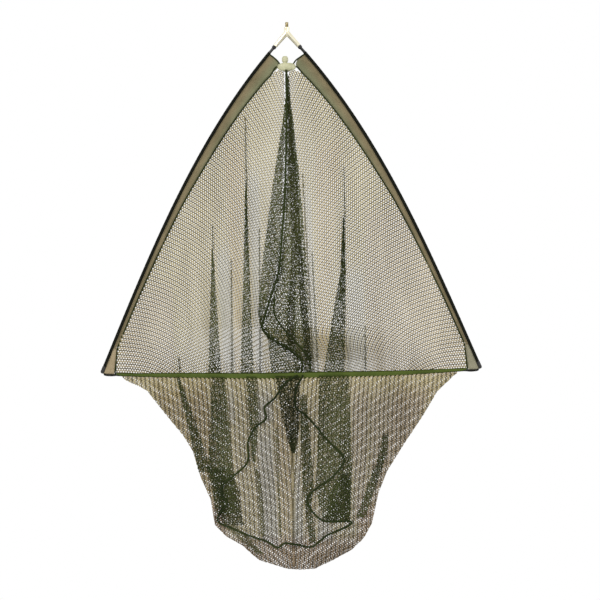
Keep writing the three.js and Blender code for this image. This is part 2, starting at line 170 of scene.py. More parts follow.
# ------------------------------------------------------------------ mesh helpers
def new_mesh(name, verts, quads, tris=None, uv=None, smooth=True):
    """verts in millimetres; faces as index arrays; uv is per vertex."""
    verts = np.asarray(verts, np.float64) * MM
    quads = np.asarray(quads, np.int32).reshape(-1, 4)
    tris = np.zeros((0, 3), np.int32) if tris is None else np.asarray(tris, np.int32).reshape(-1, 3)
    data = bpy.data.meshes.new(name)
    data.vertices.add(len(verts))
    data.vertices.foreach_set("co", verts.ravel())
    loops = np.concatenate([quads.ravel(), tris.ravel()])
    data.loops.add(len(loops))
    data.loops.foreach_set("vertex_index", loops)
    starts = np.concatenate([np.arange(len(quads)) * 4, len(quads) * 4 + np.arange(len(tris)) * 3])
    data.polygons.add(len(starts))
    data.polygons.foreach_set("loop_start", starts.astype(np.int32))
    data.update(calc_edges=True)
    data.validate()
    data.polygons.foreach_set("use_smooth", np.full(len(data.polygons), smooth))
    if uv is not None:
        layer = data.uv_layers.new(name="UVMap")
        layer.data.foreach_set("uv", np.asarray(uv, np.float64)[loops].ravel())
    obj = bpy.data.objects.new(name, data)
    scene.collection.objects.link(obj)
    return obj


def unit(v):
    return v / np.maximum(np.linalg.norm(v, axis=-1, keepdims=True), 1e-12)


def resample(points, step):
    points = np.asarray(points, float)
    far = np.concatenate([[0], np.cumsum(np.linalg.norm(np.diff(points, axis=0), axis=1))])
    count = max(2, int(far[-1] / step) + 1)
    at = np.linspace(0, far[-1], count)
    return np.stack([np.interp(at, far, points[:, i]) for i in range(3)], 1)


def smooth_path(points, step):
    """Catmull-Rom through the points, then even steps."""
    p = np.asarray(points, float)
    p = np.vstack([2 * p[0] - p[1], p, 2 * p[-1] - p[-2]])
    t = np.linspace(0, 1, 13)[:-1][:, None]
    out = []
    for i in range(1, len(p) - 2):
        a, b, c, d = p[i - 1], p[i], p[i + 1], p[i + 2]
        out.append(0.5 * (2 * b + (c - a) * t + (2 * a - 5 * b + 4 * c - d) * t ** 2
                          + (3 * b - a - 3 * c + d) * t ** 3))
    out.append(p[-2][None, :])
    return resample(np.vstack(out), step)


def frames(line, up=(0, -1, 0)):
    tangent = unit(np.gradient(line, axis=0))
    up = np.broadcast_to(np.asarray(up, float), line.shape)
    side = unit(np.cross(up, tangent))
    front = np.cross(tangent, side)
    return tangent, side, front


def sweep(name, line, ring, closed_ends=True, up=(0, -1, 0), uv=True):
    """ring(i, n) gives (k, 2) offsets along side and front at ring i, or one array for all."""
    _, side, front = frames(line, up)
    n = len(line)
    rings = ring if isinstance(ring, np.ndarray) else np.stack([ring(i, n) for i in range(n)])
    if rings.ndim == 2:
        rings = np.broadcast_to(rings, (n,) + rings.shape)
    k = rings.shape[1]
    verts = line[:, None, :] + rings[..., :1] * side[:, None, :] + rings[..., 1:] * front[:, None, :]
    quads = tube_quads(n, k)
    verts = verts.reshape(-1, 3)
    tris = []
    if closed_ends:
        for row, flip in ((0, False), (n - 1, True)):
            centre = len(verts)
            verts = np.vstack([verts, verts[row * k:(row + 1) * k].mean(0)])
            for a in range(k):
                b = (a + 1) % k
                tri = [centre, row * k + a, row * k + b]
                tris.append(tri[::-1] if flip else tri)
    far = np.concatenate([[0], np.cumsum(np.linalg.norm(np.diff(line, axis=0), axis=1))])
    around = np.concatenate([[0], np.cumsum(np.linalg.norm(np.diff(rings[n // 2], axis=0), axis=1))])
    uvs = np.stack(np.meshgrid(far, around, indexing="ij"), -1).reshape(-1, 2)
    if closed_ends:
        uvs = np.vstack([uvs, uvs[:1], uvs[-1:]])
    return new_mesh(name, verts, quads, tris, uvs if uv else None)


def circle(radius, sides=12):
    turn = round_angles(sides)
    return np.stack([np.cos(turn), np.sin(turn)], 1) * radius


def twisted_cord(name, points, diameter, step=1.2, sides=12, strands=3, lay=9.0, taper=0):
    """A laid cord: lobes that turn round the centre line."""
    line = smooth_path(points, step)
    n = len(line)
    far = np.arange(n) * step
    turn = round_angles(sides)
    phase = far[:, None] * 2 * np.pi / lay
    wave = 0.5 + 0.5 * np.cos(strands * turn[None, :] + phase * strands / 2)
    radius = diameter / 2 * (0.84 + 0.16 * wave)
    radius = radius * (1 + 0.03 * np.sin(far / 13.7)[:, None])
    if taper:
        edge = np.minimum(far, far[::-1])
        radius = radius * np.clip(0.35 + edge / taper, 0, 1)[:, None]
    rings = np.stack([np.cos(turn) * radius, np.sin(turn) * radius], -1)
    return sweep(name, line, rings)


def stitches(name, line, front, length=3.4, gap=1.8, radius=0.28):
    """A row of thread stitches along line, each one a small raised loop. front is outwards."""
    line = resample(line, 0.8)
    front = np.asarray(front, float)
    verts, quads = [], []
    every = int((length + gap) / 0.8)
    span = int(length / 0.8)
    k = 5
    turn = round_angles(k)
    for start in range(0, len(line) - span - 1, every):
        part = line[start:start + span + 1]
        t = unit(np.gradient(part, axis=0))
        side = unit(np.cross(np.broadcast_to(front, t.shape), t))
        lift = np.sin(np.linspace(0, np.pi, len(part)))[:, None] * radius * 1.6 - radius * 0.9
        mid = part + front * lift
        base = sum(len(v) for v in verts)
        ring = (mid[:, None, :] + radius * np.cos(turn)[None, :, None] * side[:, None, :]
                + radius * np.sin(turn)[None, :, None] * front)
        verts.append(ring.reshape(-1, 3))
        quads.append(tube_quads(len(part), k) + base)
    return new_mesh(name, np.vstack(verts), np.vstack(quads))


def join(name, objects):
    for o in bpy.context.selected_objects:
        o.select_set(False)
    for o in objects:
        o.select_set(True)
    bpy.context.view_layer.objects.active = objects[0]
    if len(objects) > 1:
        bpy.ops.object.join()
    objects[0].name = name
    objects[0].select_set(False)
    return objects[0]


# ------------------------------------------------------------------ materials
def material(name):
    m = bpy.data.materials.new(name)
    m.use_nodes = True
    return m, m.node_tree.nodes, m.node_tree.links, m.node_tree.nodes["Principled BSDF"]


def ramp(nodes, stops):
    r = nodes.new("ShaderNodeValToRGB")
    r.color_ramp.elements[0].position, r.color_ramp.elements[0].color = stops[0][0], (*stops[0][1], 1)
    r.color_ramp.elements[1].position, r.color_ramp.elements[1].color = stops[-1][0], (*stops[-1][1], 1)
    for at, color in stops[1:-1]:
        e = r.color_ramp.elements.new(at)
        e.color = (*color, 1)
    return r


def noise(nodes, links, coords, scale, detail=3, rough=0.55, stretch=None):
    n = nodes.new("ShaderNodeTexNoise")
    n.inputs["Scale"].default_value = scale
    n.inputs["Detail"].default_value = detail
    n.inputs["Roughness"].default_value = rough
    source = coords
    if stretch is not None:
        mapping = nodes.new("ShaderNodeMapping")
        mapping.inputs["Scale"].default_value = stretch
        links.new(coords, mapping.inputs["Vector"])
        source = mapping.outputs["Vector"]
    links.new(source, n.inputs["Vector"])
    return n


def bump(nodes, links, height, bsdf, strength, distance, before=None):
    b = nodes.new("ShaderNodeBump")
    b.inputs["Strength"].default_value = strength
    b.inputs["Distance"].default_value = distance
    links.new(height, b.inputs["Height"])
    if before is not None:
        links.new(before.outputs["Normal"], b.inputs["Normal"])
    links.new(b.outputs["Normal"], bsdf.inputs["Normal"])
    return b


def yarn_material(name, dark, mid, light, rough=0.85, fine=900.0, with_painted_shade=False):
    """Fibrous yarn: colour by patches of the cloth and by fine fibres, with a fibre bump.
    On request the yarn is multiplied by the piece's colour attribute, which paints each hanging fold's shade
    and highlights and shifts its tone."""
    m, nodes, links, bsdf = material(name)
    coords = nodes.new("ShaderNodeTexCoord").outputs["Object"]
    broad = noise(nodes, links, coords, 9.0, 3, 0.6, (1, 1, 0.25))
    small = noise(nodes, links, coords, fine, 2, 0.6)
    patches = math_node(nodes, links, "MULTIPLY", broad.outputs["Fac"], 0.55)
    r = ramp(nodes, [(0.36, dark), (0.5, mid), (0.64, light)])
    links.new(math_node(nodes, links, "MULTIPLY_ADD", small.outputs["Fac"], 0.45, patches), r.inputs["Fac"])
    color = r.outputs["Color"]
    if with_painted_shade:
        # painted fold shade, highlights and tone, read from the piece's colour attribute
        painted_shade_and_tone = nodes.new("ShaderNodeAttribute")
        painted_shade_and_tone.attribute_name = "painted_shade_and_tone"
        color = multiply_color(nodes, links, 1.0, color, painted_shade_and_tone.outputs["Color"])
    links.new(color, bsdf.inputs["Base Color"])
    bsdf.inputs["Roughness"].default_value = rough
    bsdf.inputs["Specular IOR Level"].default_value = 0.12
    bump(nodes, links, small.outputs["Fac"], bsdf, 0.5, 0.0004)
    return m


def weave_material(name, dark, light, pitch=0.9, rough=0.8, depth=0.0003):
    """Woven cloth from the piece's own UV, which is in millimetres."""
    m, nodes, links, bsdf = material(name)
    uv = nodes.new("ShaderNodeTexCoord").outputs["UV"]
    obj = nodes.new("ShaderNodeTexCoord").outputs["Object"]
    waves = []
    for direction in ("X", "Y"):
        w = nodes.new("ShaderNodeTexWave")
        w.wave_type = "BANDS"
        w.bands_direction = direction
        w.inputs["Scale"].default_value = 0.314 / pitch
        w.inputs["Distortion"].default_value = 0.6
        w.inputs["Detail"].default_value = 1.0
        w.inputs["Detail Scale"].default_value = 2.0
        links.new(uv, w.inputs["Vector"])
        waves.append(w)
    both = math_node(nodes, links, "MAXIMUM", waves[0].outputs["Fac"], waves[1].outputs["Fac"])
    broad = noise(nodes, links, obj, 14.0, 4, 0.6)
    patches = math_node(nodes, links, "MULTIPLY", broad.outputs["Fac"], 0.7)
    r = ramp(nodes, [(0.35, dark), (0.9, light)])
    links.new(math_node(nodes, links, "MULTIPLY_ADD", both, 0.5, patches), r.inputs["Fac"])
    links.new(r.outputs["Color"], bsdf.inputs["Base Color"])
    links.new(fit(nodes, links, broad.outputs["Fac"], rough - 0.1, rough + 0.1), bsdf.inputs["Roughness"])
    bsdf.inputs["Specular IOR Level"].default_value = 0.12
    bump(nodes, links, both, bsdf, 0.7, depth)
    return m


def band_material():
    """The sleeve's cloth: brownish along the rod, greener towards the piping, with a fine weave."""
    m = weave_material("band_cloth", (0.085, 0.090, 0.045), (0.215, 0.215, 0.125), 0.8)
    nodes, links, bsdf = m.node_tree.nodes, m.node_tree.links, m.node_tree.nodes["Principled BSDF"]
    old = bsdf.inputs["Base Color"].links[0].from_socket
    across = nodes.new("ShaderNodeSeparateXYZ")
    links.new(nodes.new("ShaderNodeTexCoord").outputs["UV"], across.inputs["Vector"])
    share = fit(nodes, links, across.outputs["Y"], 0.75, 0.0, 9.0, 27.0)
    tone = multiply_color(nodes, links, share, old, (1.15, 0.86, 0.85, 1))
    links.new(tone, bsdf.inputs["Base Color"])
    return m


def metal_material(name, dark, light, rough_low, rough_high, scale=60.0):
    m, nodes, links, bsdf = material(name)
    coords = nodes.new("ShaderNodeTexCoord").outputs["Object"]
    broad = noise(nodes, links, coords, scale, 4, 0.6)
    scratch = noise(nodes, links, coords, 900.0, 2, 0.7, (1, 1, 0.06))
    r = ramp(nodes, [(0.3, dark), (0.7, light)])
    links.new(broad.outputs["Fac"], r.inputs["Fac"])
    links.new(r.outputs["Color"], bsdf.inputs["Base Color"])
    bsdf.inputs["Metallic"].default_value = 1.0
    shine = fit(nodes, links, scratch.outputs["Fac"], rough_low, rough_high, 0.3, 0.75)
    links.new(shine, bsdf.inputs["Roughness"])
    first = bump(nodes, links, broad.outputs["Fac"], bsdf, 0.12, 0.0004)
    bump(nodes, links, scratch.outputs["Fac"], bsdf, 0.08, 0.0001, first)
    return m


def plastic_material(name, dark, light, rough=0.35, coat=0.0, grain=500.0):
    m, nodes, links, bsdf = material(name)
    coords = nodes.new("ShaderNodeTexCoord").outputs["Object"]
    broad = noise(nodes, links, coords, 70.0, 4, 0.6)
    fine = noise(nodes, links, coords, grain, 3, 0.6)
    r = ramp(nodes, [(0.3, dark), (0.7, light)])
    links.new(broad.outputs["Fac"], r.inputs["Fac"])
    links.new(r.outputs["Color"], bsdf.inputs["Base Color"])
    shine = fit(nodes, links, fine.outputs["Fac"], max(0.05, rough - 0.12), rough + 0.12)
    links.new(shine, bsdf.inputs["Roughness"])
    bsdf.inputs["Coat Weight"].default_value = coat
    bump(nodes, links, fine.outputs["Fac"], bsdf, 0.15, 0.0002)
    return m


MAT = {
    "plating": metal_material("plating", (0.80, 0.74, 0.52), (0.93, 0.88, 0.70), 0.10, 0.32),
    "thread": metal_material("thread", (0.34, 0.28, 0.15), (0.62, 0.55, 0.36), 0.2, 0.45),
    "wire": metal_material("wire", (0.5, 0.5, 0.49), (0.7, 0.7, 0.69), 0.2, 0.4),
    "lacquer": plastic_material("lacquer", (0.003, 0.003, 0.0025), (0.007, 0.007, 0.006), 0.3, 0.15),
    "rubber": plastic_material("rubber", (0.004, 0.004, 0.0035), (0.011, 0.011, 0.010), 0.6),
    "black_cloth": weave_material("black_cloth", (0.0010, 0.0012, 0.0006), (0.0065, 0.007, 0.004), 0.7),
    "olive_cloth": band_material(),
    "tan_cloth": weave_material("tan_cloth", (0.20, 0.155, 0.085), (0.37, 0.30, 0.19), 0.8),
    "grey_cloth": weave_material("grey_cloth", (0.13, 0.125, 0.075), (0.29, 0.27, 0.19), 0.8),
    "tape_cloth": weave_material("tape_cloth", (0.016, 0.030, 0.003), (0.088, 0.118, 0.023), 1.0),
    "tape_edge": weave_material("tape_edge", (0.005, 0.010, 0.001), (0.022, 0.034, 0.006), 1.0),
    "green_cord": yarn_material("green_cord", (0.006, 0.010, 0.002), (0.014, 0.021, 0.005),
                                (0.034, 0.044, 0.013)),
    "black_cord": yarn_material("black_cord", (0.006, 0.006, 0.005), (0.012, 0.012, 0.010),
                                (0.03, 0.03, 0.026)),
    "thread_green": yarn_material("thread_green", (0.008, 0.011, 0.003), (0.016, 0.022, 0.006),
                                  (0.035, 0.042, 0.014)),
    "net_yarn": yarn_material("net_yarn", (0.26, 0.218, 0.118), (0.365, 0.312, 0.175), (0.48, 0.42, 0.25),
                              with_painted_shade=True),
    "net_rib": yarn_material("net_rib", (0.065, 0.056, 0.026), (0.115, 0.098, 0.048), (0.19, 0.165, 0.09),
                             with_painted_shade=True),
    # the next three are darker copies of the net yarn, which paint the shade in folds, creases and the seam
    "net_shade_dark": yarn_material("net_shade_dark", (0.006, 0.009, 0.002), (0.018, 0.023, 0.006),
                              (0.060, 0.064, 0.022)),
    "net_shade_mid": yarn_material("net_shade_mid", (0.035, 0.038, 0.014), (0.080, 0.080, 0.036), (0.17, 0.16, 0.08)),
    "net_shade": yarn_material("net_shade", (0.012, 0.019, 0.004), (0.032, 0.043, 0.011),
                               (0.105, 0.115, 0.042)),
    "lock_plastic": plastic_material("lock_plastic", (0.33, 0.33, 0.19), (0.50, 0.49, 0.31), 0.42),
}


def dress(obj, *names):
    slots = np.zeros(len(obj.data.polygons), np.int32)
    obj.data.polygons.foreach_get("material_index", slots)
    obj.data.materials.clear()
    for n in names:
        obj.data.materials.append(MAT[n])
    obj.data.polygons.foreach_set("material_index", np.minimum(slots, len(names) - 1))
    obj.data.update()
    return obj


# ------------------------------------------------------------------ the arm's line, in millimetres
LEG_ANGLE, LEG_LENGTH, HUB_Z = 41.5, 50.0, -29.0
ARM_LENGTH, TIP_ANGLE, BEND_POWER = 1030.0, 22.9, 2.2
MOUTH = np.array([math.sin(math.radians(LEG_ANGLE)) * LEG_LENGTH,
                  HUB_Z - math.cos(math.radians(LEG_ANGLE)) * LEG_LENGTH])


def arm_angle(s):
    share = np.clip(np.asarray(s, float) / ARM_LENGTH, 0, 1)
    return np.radians(TIP_ANGLE + (LEG_ANGLE - TIP_ANGLE) * (1 - share) ** BEND_POWER)


ARM_S = np.arange(0, 1060.0, 1.0)
ARM_X = MOUTH[0] + np.concatenate([[0], np.cumsum(np.sin(arm_angle(ARM_S[:-1] + 0.5)))])
ARM_Z = MOUTH[1] - np.concatenate([[0], np.cumsum(np.cos(arm_angle(ARM_S[:-1] + 0.5)))])


def beside(s, w):
    """x, z beside the right arm: s along it, w in from its centre line."""
    s = np.asarray(s, float)
    angle = arm_angle(s)
    low = np.minimum(s, 0)
    x = np.interp(s, ARM_S, ARM_X) + np.sin(angle) * low - np.cos(angle) * w
    z = np.interp(s, ARM_S, ARM_Z) - np.cos(angle) * low - np.sin(angle) * w
    return x, z


def pairs(table, at):
    t = np.asarray(table, float)
    order = np.argsort(t[:, 0])
    return np.interp(at, t[order, 0], t[order, 1])


WEB = [(24, 5.0), (25, 26), (31, 39), (40, 44), (50, 44.5), (62, 41.5), (90, 38), (190, 32), (400, 24),
       (515, 18), (800, 12.5),
       (958, 11.5), (985, 18), (1004, 26), (1026, 34)]


def web_width(s):
    return pairs(WEB, s)


# ------------------------------------------------------------------ shape of the hanging bag
LEFT_SIDE = [(-985, -470), (-992, -462), (-1022, -403), (-1086, -354), (-1148, -304), (-1193, -277),
             (-1266, -256), (-1328, -229), (-1401, -218)]
RIGHT_SIDE = [(-985, 462), (-996, 448), (-1035, 406), (-1101, 366), (-1184, 309), (-1256, 263),
              (-1317, 238), (-1384, 223), (-1401, 219)]
BOTTOM = [(-218, -1401), (-185, -1435), (-141, -1462), (-97, -1503), (-19, -1529), (14, -1532),
          (59, -1530), (104, -1508), (160, -1478), (194, -1445), (219, -1401)]
BACK_DEPTH = [(-136, 1), (-182, 10), (-300, 30), (-600, 74), (-985, 118), (-1200, 130), (-1330, 124),
              (-1401, 108)]
BACK_SIDE = [(-136, 0.5), (-900, 1.5), (-950, 6), (-1010, 6), (-1070, 1.5), (-1401, 1.5)]
FRONT_DEPTH = [(-985, 0), (-1005, 2), (-1110, 16), (-1330, 34), (-1401, 34)]
EDGE_S = np.linspace(60, 1026, 120)
EDGE_X, EDGE_Z = beside(EDGE_S, web_width(EDGE_S) + 2.6)


def half_width(z, side):
    z = np.asarray(z, float)
    upper = np.interp(-z, -EDGE_Z, EDGE_X)
    lower = np.abs(pairs(RIGHT_SIDE if side > 0 else LEFT_SIDE, z))
    return np.where(z > -968, upper, np.where(z < -985, lower, upper + (lower - upper) * (-968 - z) / 17))


def back_y(x, z, side):
    u = np.clip(np.abs(x) / half_width(z, side), 0, 1)
    return pairs(BACK_SIDE, z) + pairs(BACK_DEPTH, z) * (1 - u ** 2)


def front_y(x, z, side):
    u = np.clip(np.abs(x) / half_width(z, side), 0, 1)
    return -1.5 * np.clip((-980 - z) / 25, 0.1, 1) - pairs(FRONT_DEPTH, z) * (1 - u ** 2)


# ------------------------------------------------------------------ netting
# painted shade and highlights of the hanging folds, with some colour tone, strip by strip: top z, low z,
# left x at the top and foot, right x at the top and foot, colour
# cool strips paint the pale blue-grey highlight beside a fold; warm and rose strips shift the tone
COOL_PAINTED_HIGHLIGHT, WARM, ROSE = (0.93, 1.0, 1.30), (1.03, 0.98, 0.96), (0.97, 0.95, 1.08)
PAINTED_FOLD_SHADE_AND_TONE = [
    # the first two strips paint shade down the sides of the lower bag
    (-985, -1400, -400, -215, -240, -200, (0.92, 0.86, 0.80)),
    (-985, -1400, 300, 215, 470, 240, (0.94, 0.90, 0.88)),
    (-600, -985, -209, -190, -172, -158, COOL_PAINTED_HIGHLIGHT), (-390, -985, -116, -100, -84, -80, COOL_PAINTED_HIGHLIGHT),
    (-440, -985, 42, 60, 60, 76, COOL_PAINTED_HIGHLIGHT), (-660, -985, 160, 156, 205, 214, COOL_PAINTED_HIGHLIGHT),
    (-300, -985, -181, -158, -122, -146, WARM), (-300, -985, 75, 80, 150, 95, WARM),
    (-500, -985, 215, 216, 500, 480, ROSE), (-700, -985, -460, -480, -330, -330, ROSE),
    (-985, -1115, -180, -170, -163, -160, COOL_PAINTED_HIGHLIGHT), (-985, -1110, -97, -96, -60, -52, COOL_PAINTED_HIGHLIGHT),
    (-1110, -1450, -97, -84, -56, -40, COOL_PAINTED_HIGHLIGHT), (-1064, -1455, -54, -38, -4, -2, WARM),
    (-1190, -1450, 15, -4, 17, 30, COOL_PAINTED_HIGHLIGHT), (-1250, -1450, 34, 32, 60, 60, WARM),
    (-1350, -1440, 72, 68, 90, 110, COOL_PAINTED_HIGHLIGHT), (-985, -1390, 166, 172, 220, 200, ROSE),
    (-1000, -1330, 225, 215, 400, 260, ROSE),
]


def painted_shade_and_tone_at(verts):
    x, z = verts[:, 0], verts[:, 2]
    out = np.ones((len(verts), 4))
    for top, low, l0, l1, r0, r1, tone in PAINTED_FOLD_SHADE_AND_TONE:
        share = np.clip((top - z) / (top - low), 0, 1)
        left, right = l0 + (l1 - l0) * share, r0 + (r1 - r0) * share
        soft = np.clip((x - left) / 7 + 0.5, 0, 1) * np.clip((right - x) / 7 + 0.5, 0, 1)
        soft = soft * np.clip((top - z) / 60, 0, 1) * np.clip((z - low) / 10 + 1, 0, 1)
        out[:, :3] *= 1 + soft[:, None] * (np.array(tone) - 1)
    # darker, with less green, at the very bottom and down the lower sides
    band = np.clip((-1425 - z) / 30, 0, 1) + np.clip((-1310 - z) / 60, 0,
                                                     1) * np.clip((np.abs(x) - 170) / 20, 0, 1)
    out[:, :3] *= 1 + np.clip(band, 0, 1)[:, None] * (np.array((0.78, 0.68, 0.72)) - 1)
    # darker and bluer below the hem
    low = np.clip((-1000 - z) / 80, 0, 1)[:, None]
    out[:, :3] *= 1 + low * (np.array((0.76, 0.765, 0.82)) - 1)
    return out


def lattice(name, place, rows, cols, valid=None, amp=0.16, rib=3.5, fine=2.6, bar=2.3, odd=0, slim=None,
            full=5.6, rib_depth=0.42):
    """Knotless netting. place(a, b) gives points (mm) for row a and half-cell b, both arrays.
    Yarns zigzag along b. Every second one is a rib of its own material; bars join each yarn's peaks to
    the next. The object's "cloth" is the area in square metres of the surface that they lie on."""
    a0, b0 = np.meshgrid(np.arange(rows, dtype=float), np.arange(cols, dtype=float), indexing="ij")
    flip = np.where((a0 + b0 + odd) % 2 == 0, 1.0, -1.0)
    edge = (a0 == 0) | (a0 == rows - 1)
    is_rib = a0 % 2 == 0
    a = a0 + amp * flip * np.where(edge, 0.0, np.where(is_rib, 0.2, 1.3))
    a = a + 0.05 * np.sin(b0 * 0.9 + a0 * 2.1) * np.where(edge, 0, 1)
    p = place(a, b0)
    e = 0.25
    da = place(a + e, b0) - place(a - e, b0)
    db = place(a, b0 + e) - place(a, b0 - e)
    normal = unit(np.cross(da, db))
    ok = np.ones(p.shape[:2], bool) if valid is None else valid(a, b0, p)
    sides = 4
    turn = round_angles(sides) + np.pi / 4
    apart = np.linalg.norm(np.cross(da, db), axis=-1) / np.maximum(np.linalg.norm(db, axis=-1), 1e-6)
    scale = np.clip(apart / (2 * e * full), 0.2, 1.0)
    if slim is not None:
        scale = scale * slim(p)
    wide = (np.where(is_rib, rib, fine) * scale)[..., None] * 0.6
    deep = np.where(is_rib[..., None],
                    np.maximum(wide * rib_depth, 1.3 * bar * 0.6 * scale[..., None] * 0.42), wide * 0.42)
    c, t = np.cos(turn), np.sin(turn)
    along = unit(np.gradient(p, axis=1))
    side = unit(np.cross(normal, along))
    ring = p[..., None, :] + (wide * c)[..., None] * side[..., None, :]
    ring = ring + (deep * t)[..., None] * normal[..., None, :]
    index = np.arange(rows * cols * sides).reshape(rows, cols, sides)
    link = ok[:, :-1] & ok[:, 1:]
    lo, hi = index[:, :-1][link], index[:, 1:][link]
    quads = np.stack([lo, hi, np.roll(hi, -1, 1), np.roll(lo, -1, 1)], -1).reshape(-1, 4)
    verts = ring.reshape(-1, 3)
    at = ok[:-1] & ok[1:] & (flip[:-1] > 0)
    p0, p1 = p[:-1][at], p[1:][at]
    n0 = unit(normal[:-1][at] + normal[1:][at])
    s0 = unit(np.cross(n0, unit(p1 - p0)))
    w0 = (scale[:-1][at] * bar * 0.6)[:, None, None]
    sideways = w0 * c[None, :, None] * s0[:, None, :]
    outwards = 0.42 * w0 * t[None, :, None] * n0[:, None, :]
    ends = [q[:, None, :] + sideways + outwards for q in (p0, p1)]
    count = len(p0)
    lo = len(verts) + np.arange(count * sides).reshape(count, sides)
    hi = lo + count * sides
    more = np.stack([lo, hi, np.roll(hi, -1, 1), np.roll(lo, -1, 1)], -1).reshape(-1, 4)
    verts = np.vstack([verts, ends[0].reshape(-1, 3), ends[1].reshape(-1, 3)])
    gap = np.zeros((rows, 1), bool)
    first = link & ~np.hstack([gap, link[:, :-1]])
    last = link & ~np.hstack([link[:, 1:], gap])
    caps = [index[:, :-1][first], index[:, 1:][last][:, ::-1], lo, hi[:, ::-1]]
    quads = np.vstack([quads, more] + caps)
    used = np.unique(quads)
    remap = np.full(len(verts), -1)
    remap[used] = np.arange(len(used))
    obj = new_mesh(name, verts[used], remap[quads])
    ribs = np.zeros(len(quads), np.int32)
    ribs[:link.sum() * sides] = np.repeat(is_rib[:, :-1][link], sides)
    obj.data.polygons.foreach_set("material_index", ribs)
    # colour attribute that paints the folds' shade and highlights, with some tone, into the yarn
    tone = obj.data.color_attributes.new("painted_shade_and_tone", "FLOAT_COLOR", "POINT")
    tone.data.foreach_set("color", painted_shade_and_tone_at(verts[used]).ravel())
    cells = np.linalg.norm(np.cross(da, db), axis=-1) / (2 * e) ** 2
    obj["cloth"] = float(cells[ok].sum() * 1e-6)
    return obj


SPINE = [(-2, -134), (-3, -148), (-4, -273), (-11, -460), (-22, -600), (-32, -692), (-54, -761),
         (-76, -830), (-81, -853),
         (-63, -877), (-26, -903), (6, -924), (29, -948), (29, -976), (18, -1010)]

# rows of the upper net leave the sleeve square to the arm and turn down to hang straight
ROW = 6.0
S_TOP = 62.0
TOP_ROWS = 8
START_ANGLE = [(0, 84), (62, 68), (110, 60), (150, 55), (300, 42), (440, 33), (660, 23), (790, 16),
               (875, 11),
               (960, 5), (1026, 2)]
FINAL_ANGLE = [(0, 76), (62, 72), (150, 68), (300, 66), (500, 65), (1026, 64)]
TURN_LENGTH = [(0, 140), (62, 140), (150, 180), (300, 240), (500, 280), (1026, 310)]
S_STEP = 4.0
S_END = 1026.0
S_ROWS = np.arange(-TOP_ROWS * ROW + S_TOP, S_END + 0.1, S_STEP)
T_STEP = 3.0
T_COUNT = 420
SEAM_EDGE = 2.2
FAR_BELOW = -3000
PIPING_EDGE = 2.6


def row_start(s):
    x, z = beside(np.maximum(s, S_TOP), web_width(np.maximum(s, S_TOP)) + PIPING_EDGE)
    share = np.clip((s - (S_TOP - TOP_ROWS * ROW)) / (TOP_ROWS * ROW), 0, 1)
    return 1.5 + (x - 1.5) * np.where(s < S_TOP, share,
                                      1), np.where(s < S_TOP, -131 + (z + 131) * share ** 1.6, z)


def build_rows():
    """Each row's line from the sleeve, from START_ANGLE below level round to FINAL_ANGLE."""
    table = np.zeros((len(S_ROWS), T_COUNT, 2))
    for i, s in enumerate(S_ROWS):
        x0, z0 = row_start(s)
        x, z = float(x0), float(z0)
        first, last = pairs(START_ANGLE, max(s, 0)), pairs(FINAL_ANGLE, max(s, 0))
        turn = pairs(TURN_LENGTH, max(s, 0))
        gone = 0.0
        for k in range(T_COUNT):
            table[i, k] = x, z
            share = min(gone / turn, 1.0)
            angle = math.radians(first + (last - first) * share * share * (3 - 2 * share))
            if x < SEAM_EDGE:
                table[i, k:] = x, FAR_BELOW
                break
            x -= math.cos(angle) * T_STEP
            z -= math.sin(angle) * T_STEP
            gone += math.cos(angle) * T_STEP + 0.12 * T_STEP
    return table


ROWS_TABLE = build_rows()


def row_point(s, t):
    i = np.clip((s - S_ROWS[0]) / S_STEP, 0, len(S_ROWS) - 1.001)
    j = np.clip(t / T_STEP, 0, T_COUNT - 1.001)
    i0, j0 = i.astype(int), j.astype(int)
    fi, fj = (i - i0)[..., None], (j - j0)[..., None]
    a = ROWS_TABLE[i0, j0] * (1 - fj) + ROWS_TABLE[i0, j0 + 1] * fj
    b = ROWS_TABLE[i0 + 1, j0] * (1 - fj) + ROWS_TABLE[i0 + 1, j0 + 1] * fj
    return a * (1 - fi) + b * fi


def ripple(x, z):
    """Small hanging waves of the cloth, deeper towards the cord."""
    deep = np.clip((-z - 200) / 800, 0, 1)
    return deep * (3.2 * np.sin(x / 17.0 + 0.6) + 1.6 * np.sin(x / 7.3 + z / 160)) * 0.8


def upper_surface(x, z):
    """The back of the bag above the hem."""
    return np.where(x > 0, back_y(x, z, 1), back_y(x, z, -1)) + ripple(x, z)


def seam_x(z):
    return pairs([(q, x) for x, q in SPINE], z)


def upper_net(side):
    word = word_of(side)
    rows = int((S_END - S_ROWS[0]) / ROW) + 1
    cols = 290

    def place(a, b):
        t = 3.5 * b + 0.6 * np.maximum(b - 6 - 60 * (1 - np.exp(-b / 60)), 0)
        p = row_point(S_ROWS[0] + a * ROW, t)
        z = p[..., 1]
        x = p[..., 0] * side + seam_x(z) * np.exp(-(p[..., 0] / 190.0) ** 2)
        return np.stack([x, back_y(x, z, side) + ripple(x, z), z], -1)

    def valid(a, b, p):
        ok = p[..., 2] > -987
        jump = np.abs(np.diff(p[..., 2], axis=1)) > 9
        ok[:, :-1] &= ~jump
        ok[:, 1:] &= ~jump
        return ok

    obj = lattice(f"net_upper_{word}", place, rows, cols, valid, 0.16, 3.0, 4.8, 4.3, rib_depth=0.95)
    return dress(obj, "net_yarn", "net_rib")


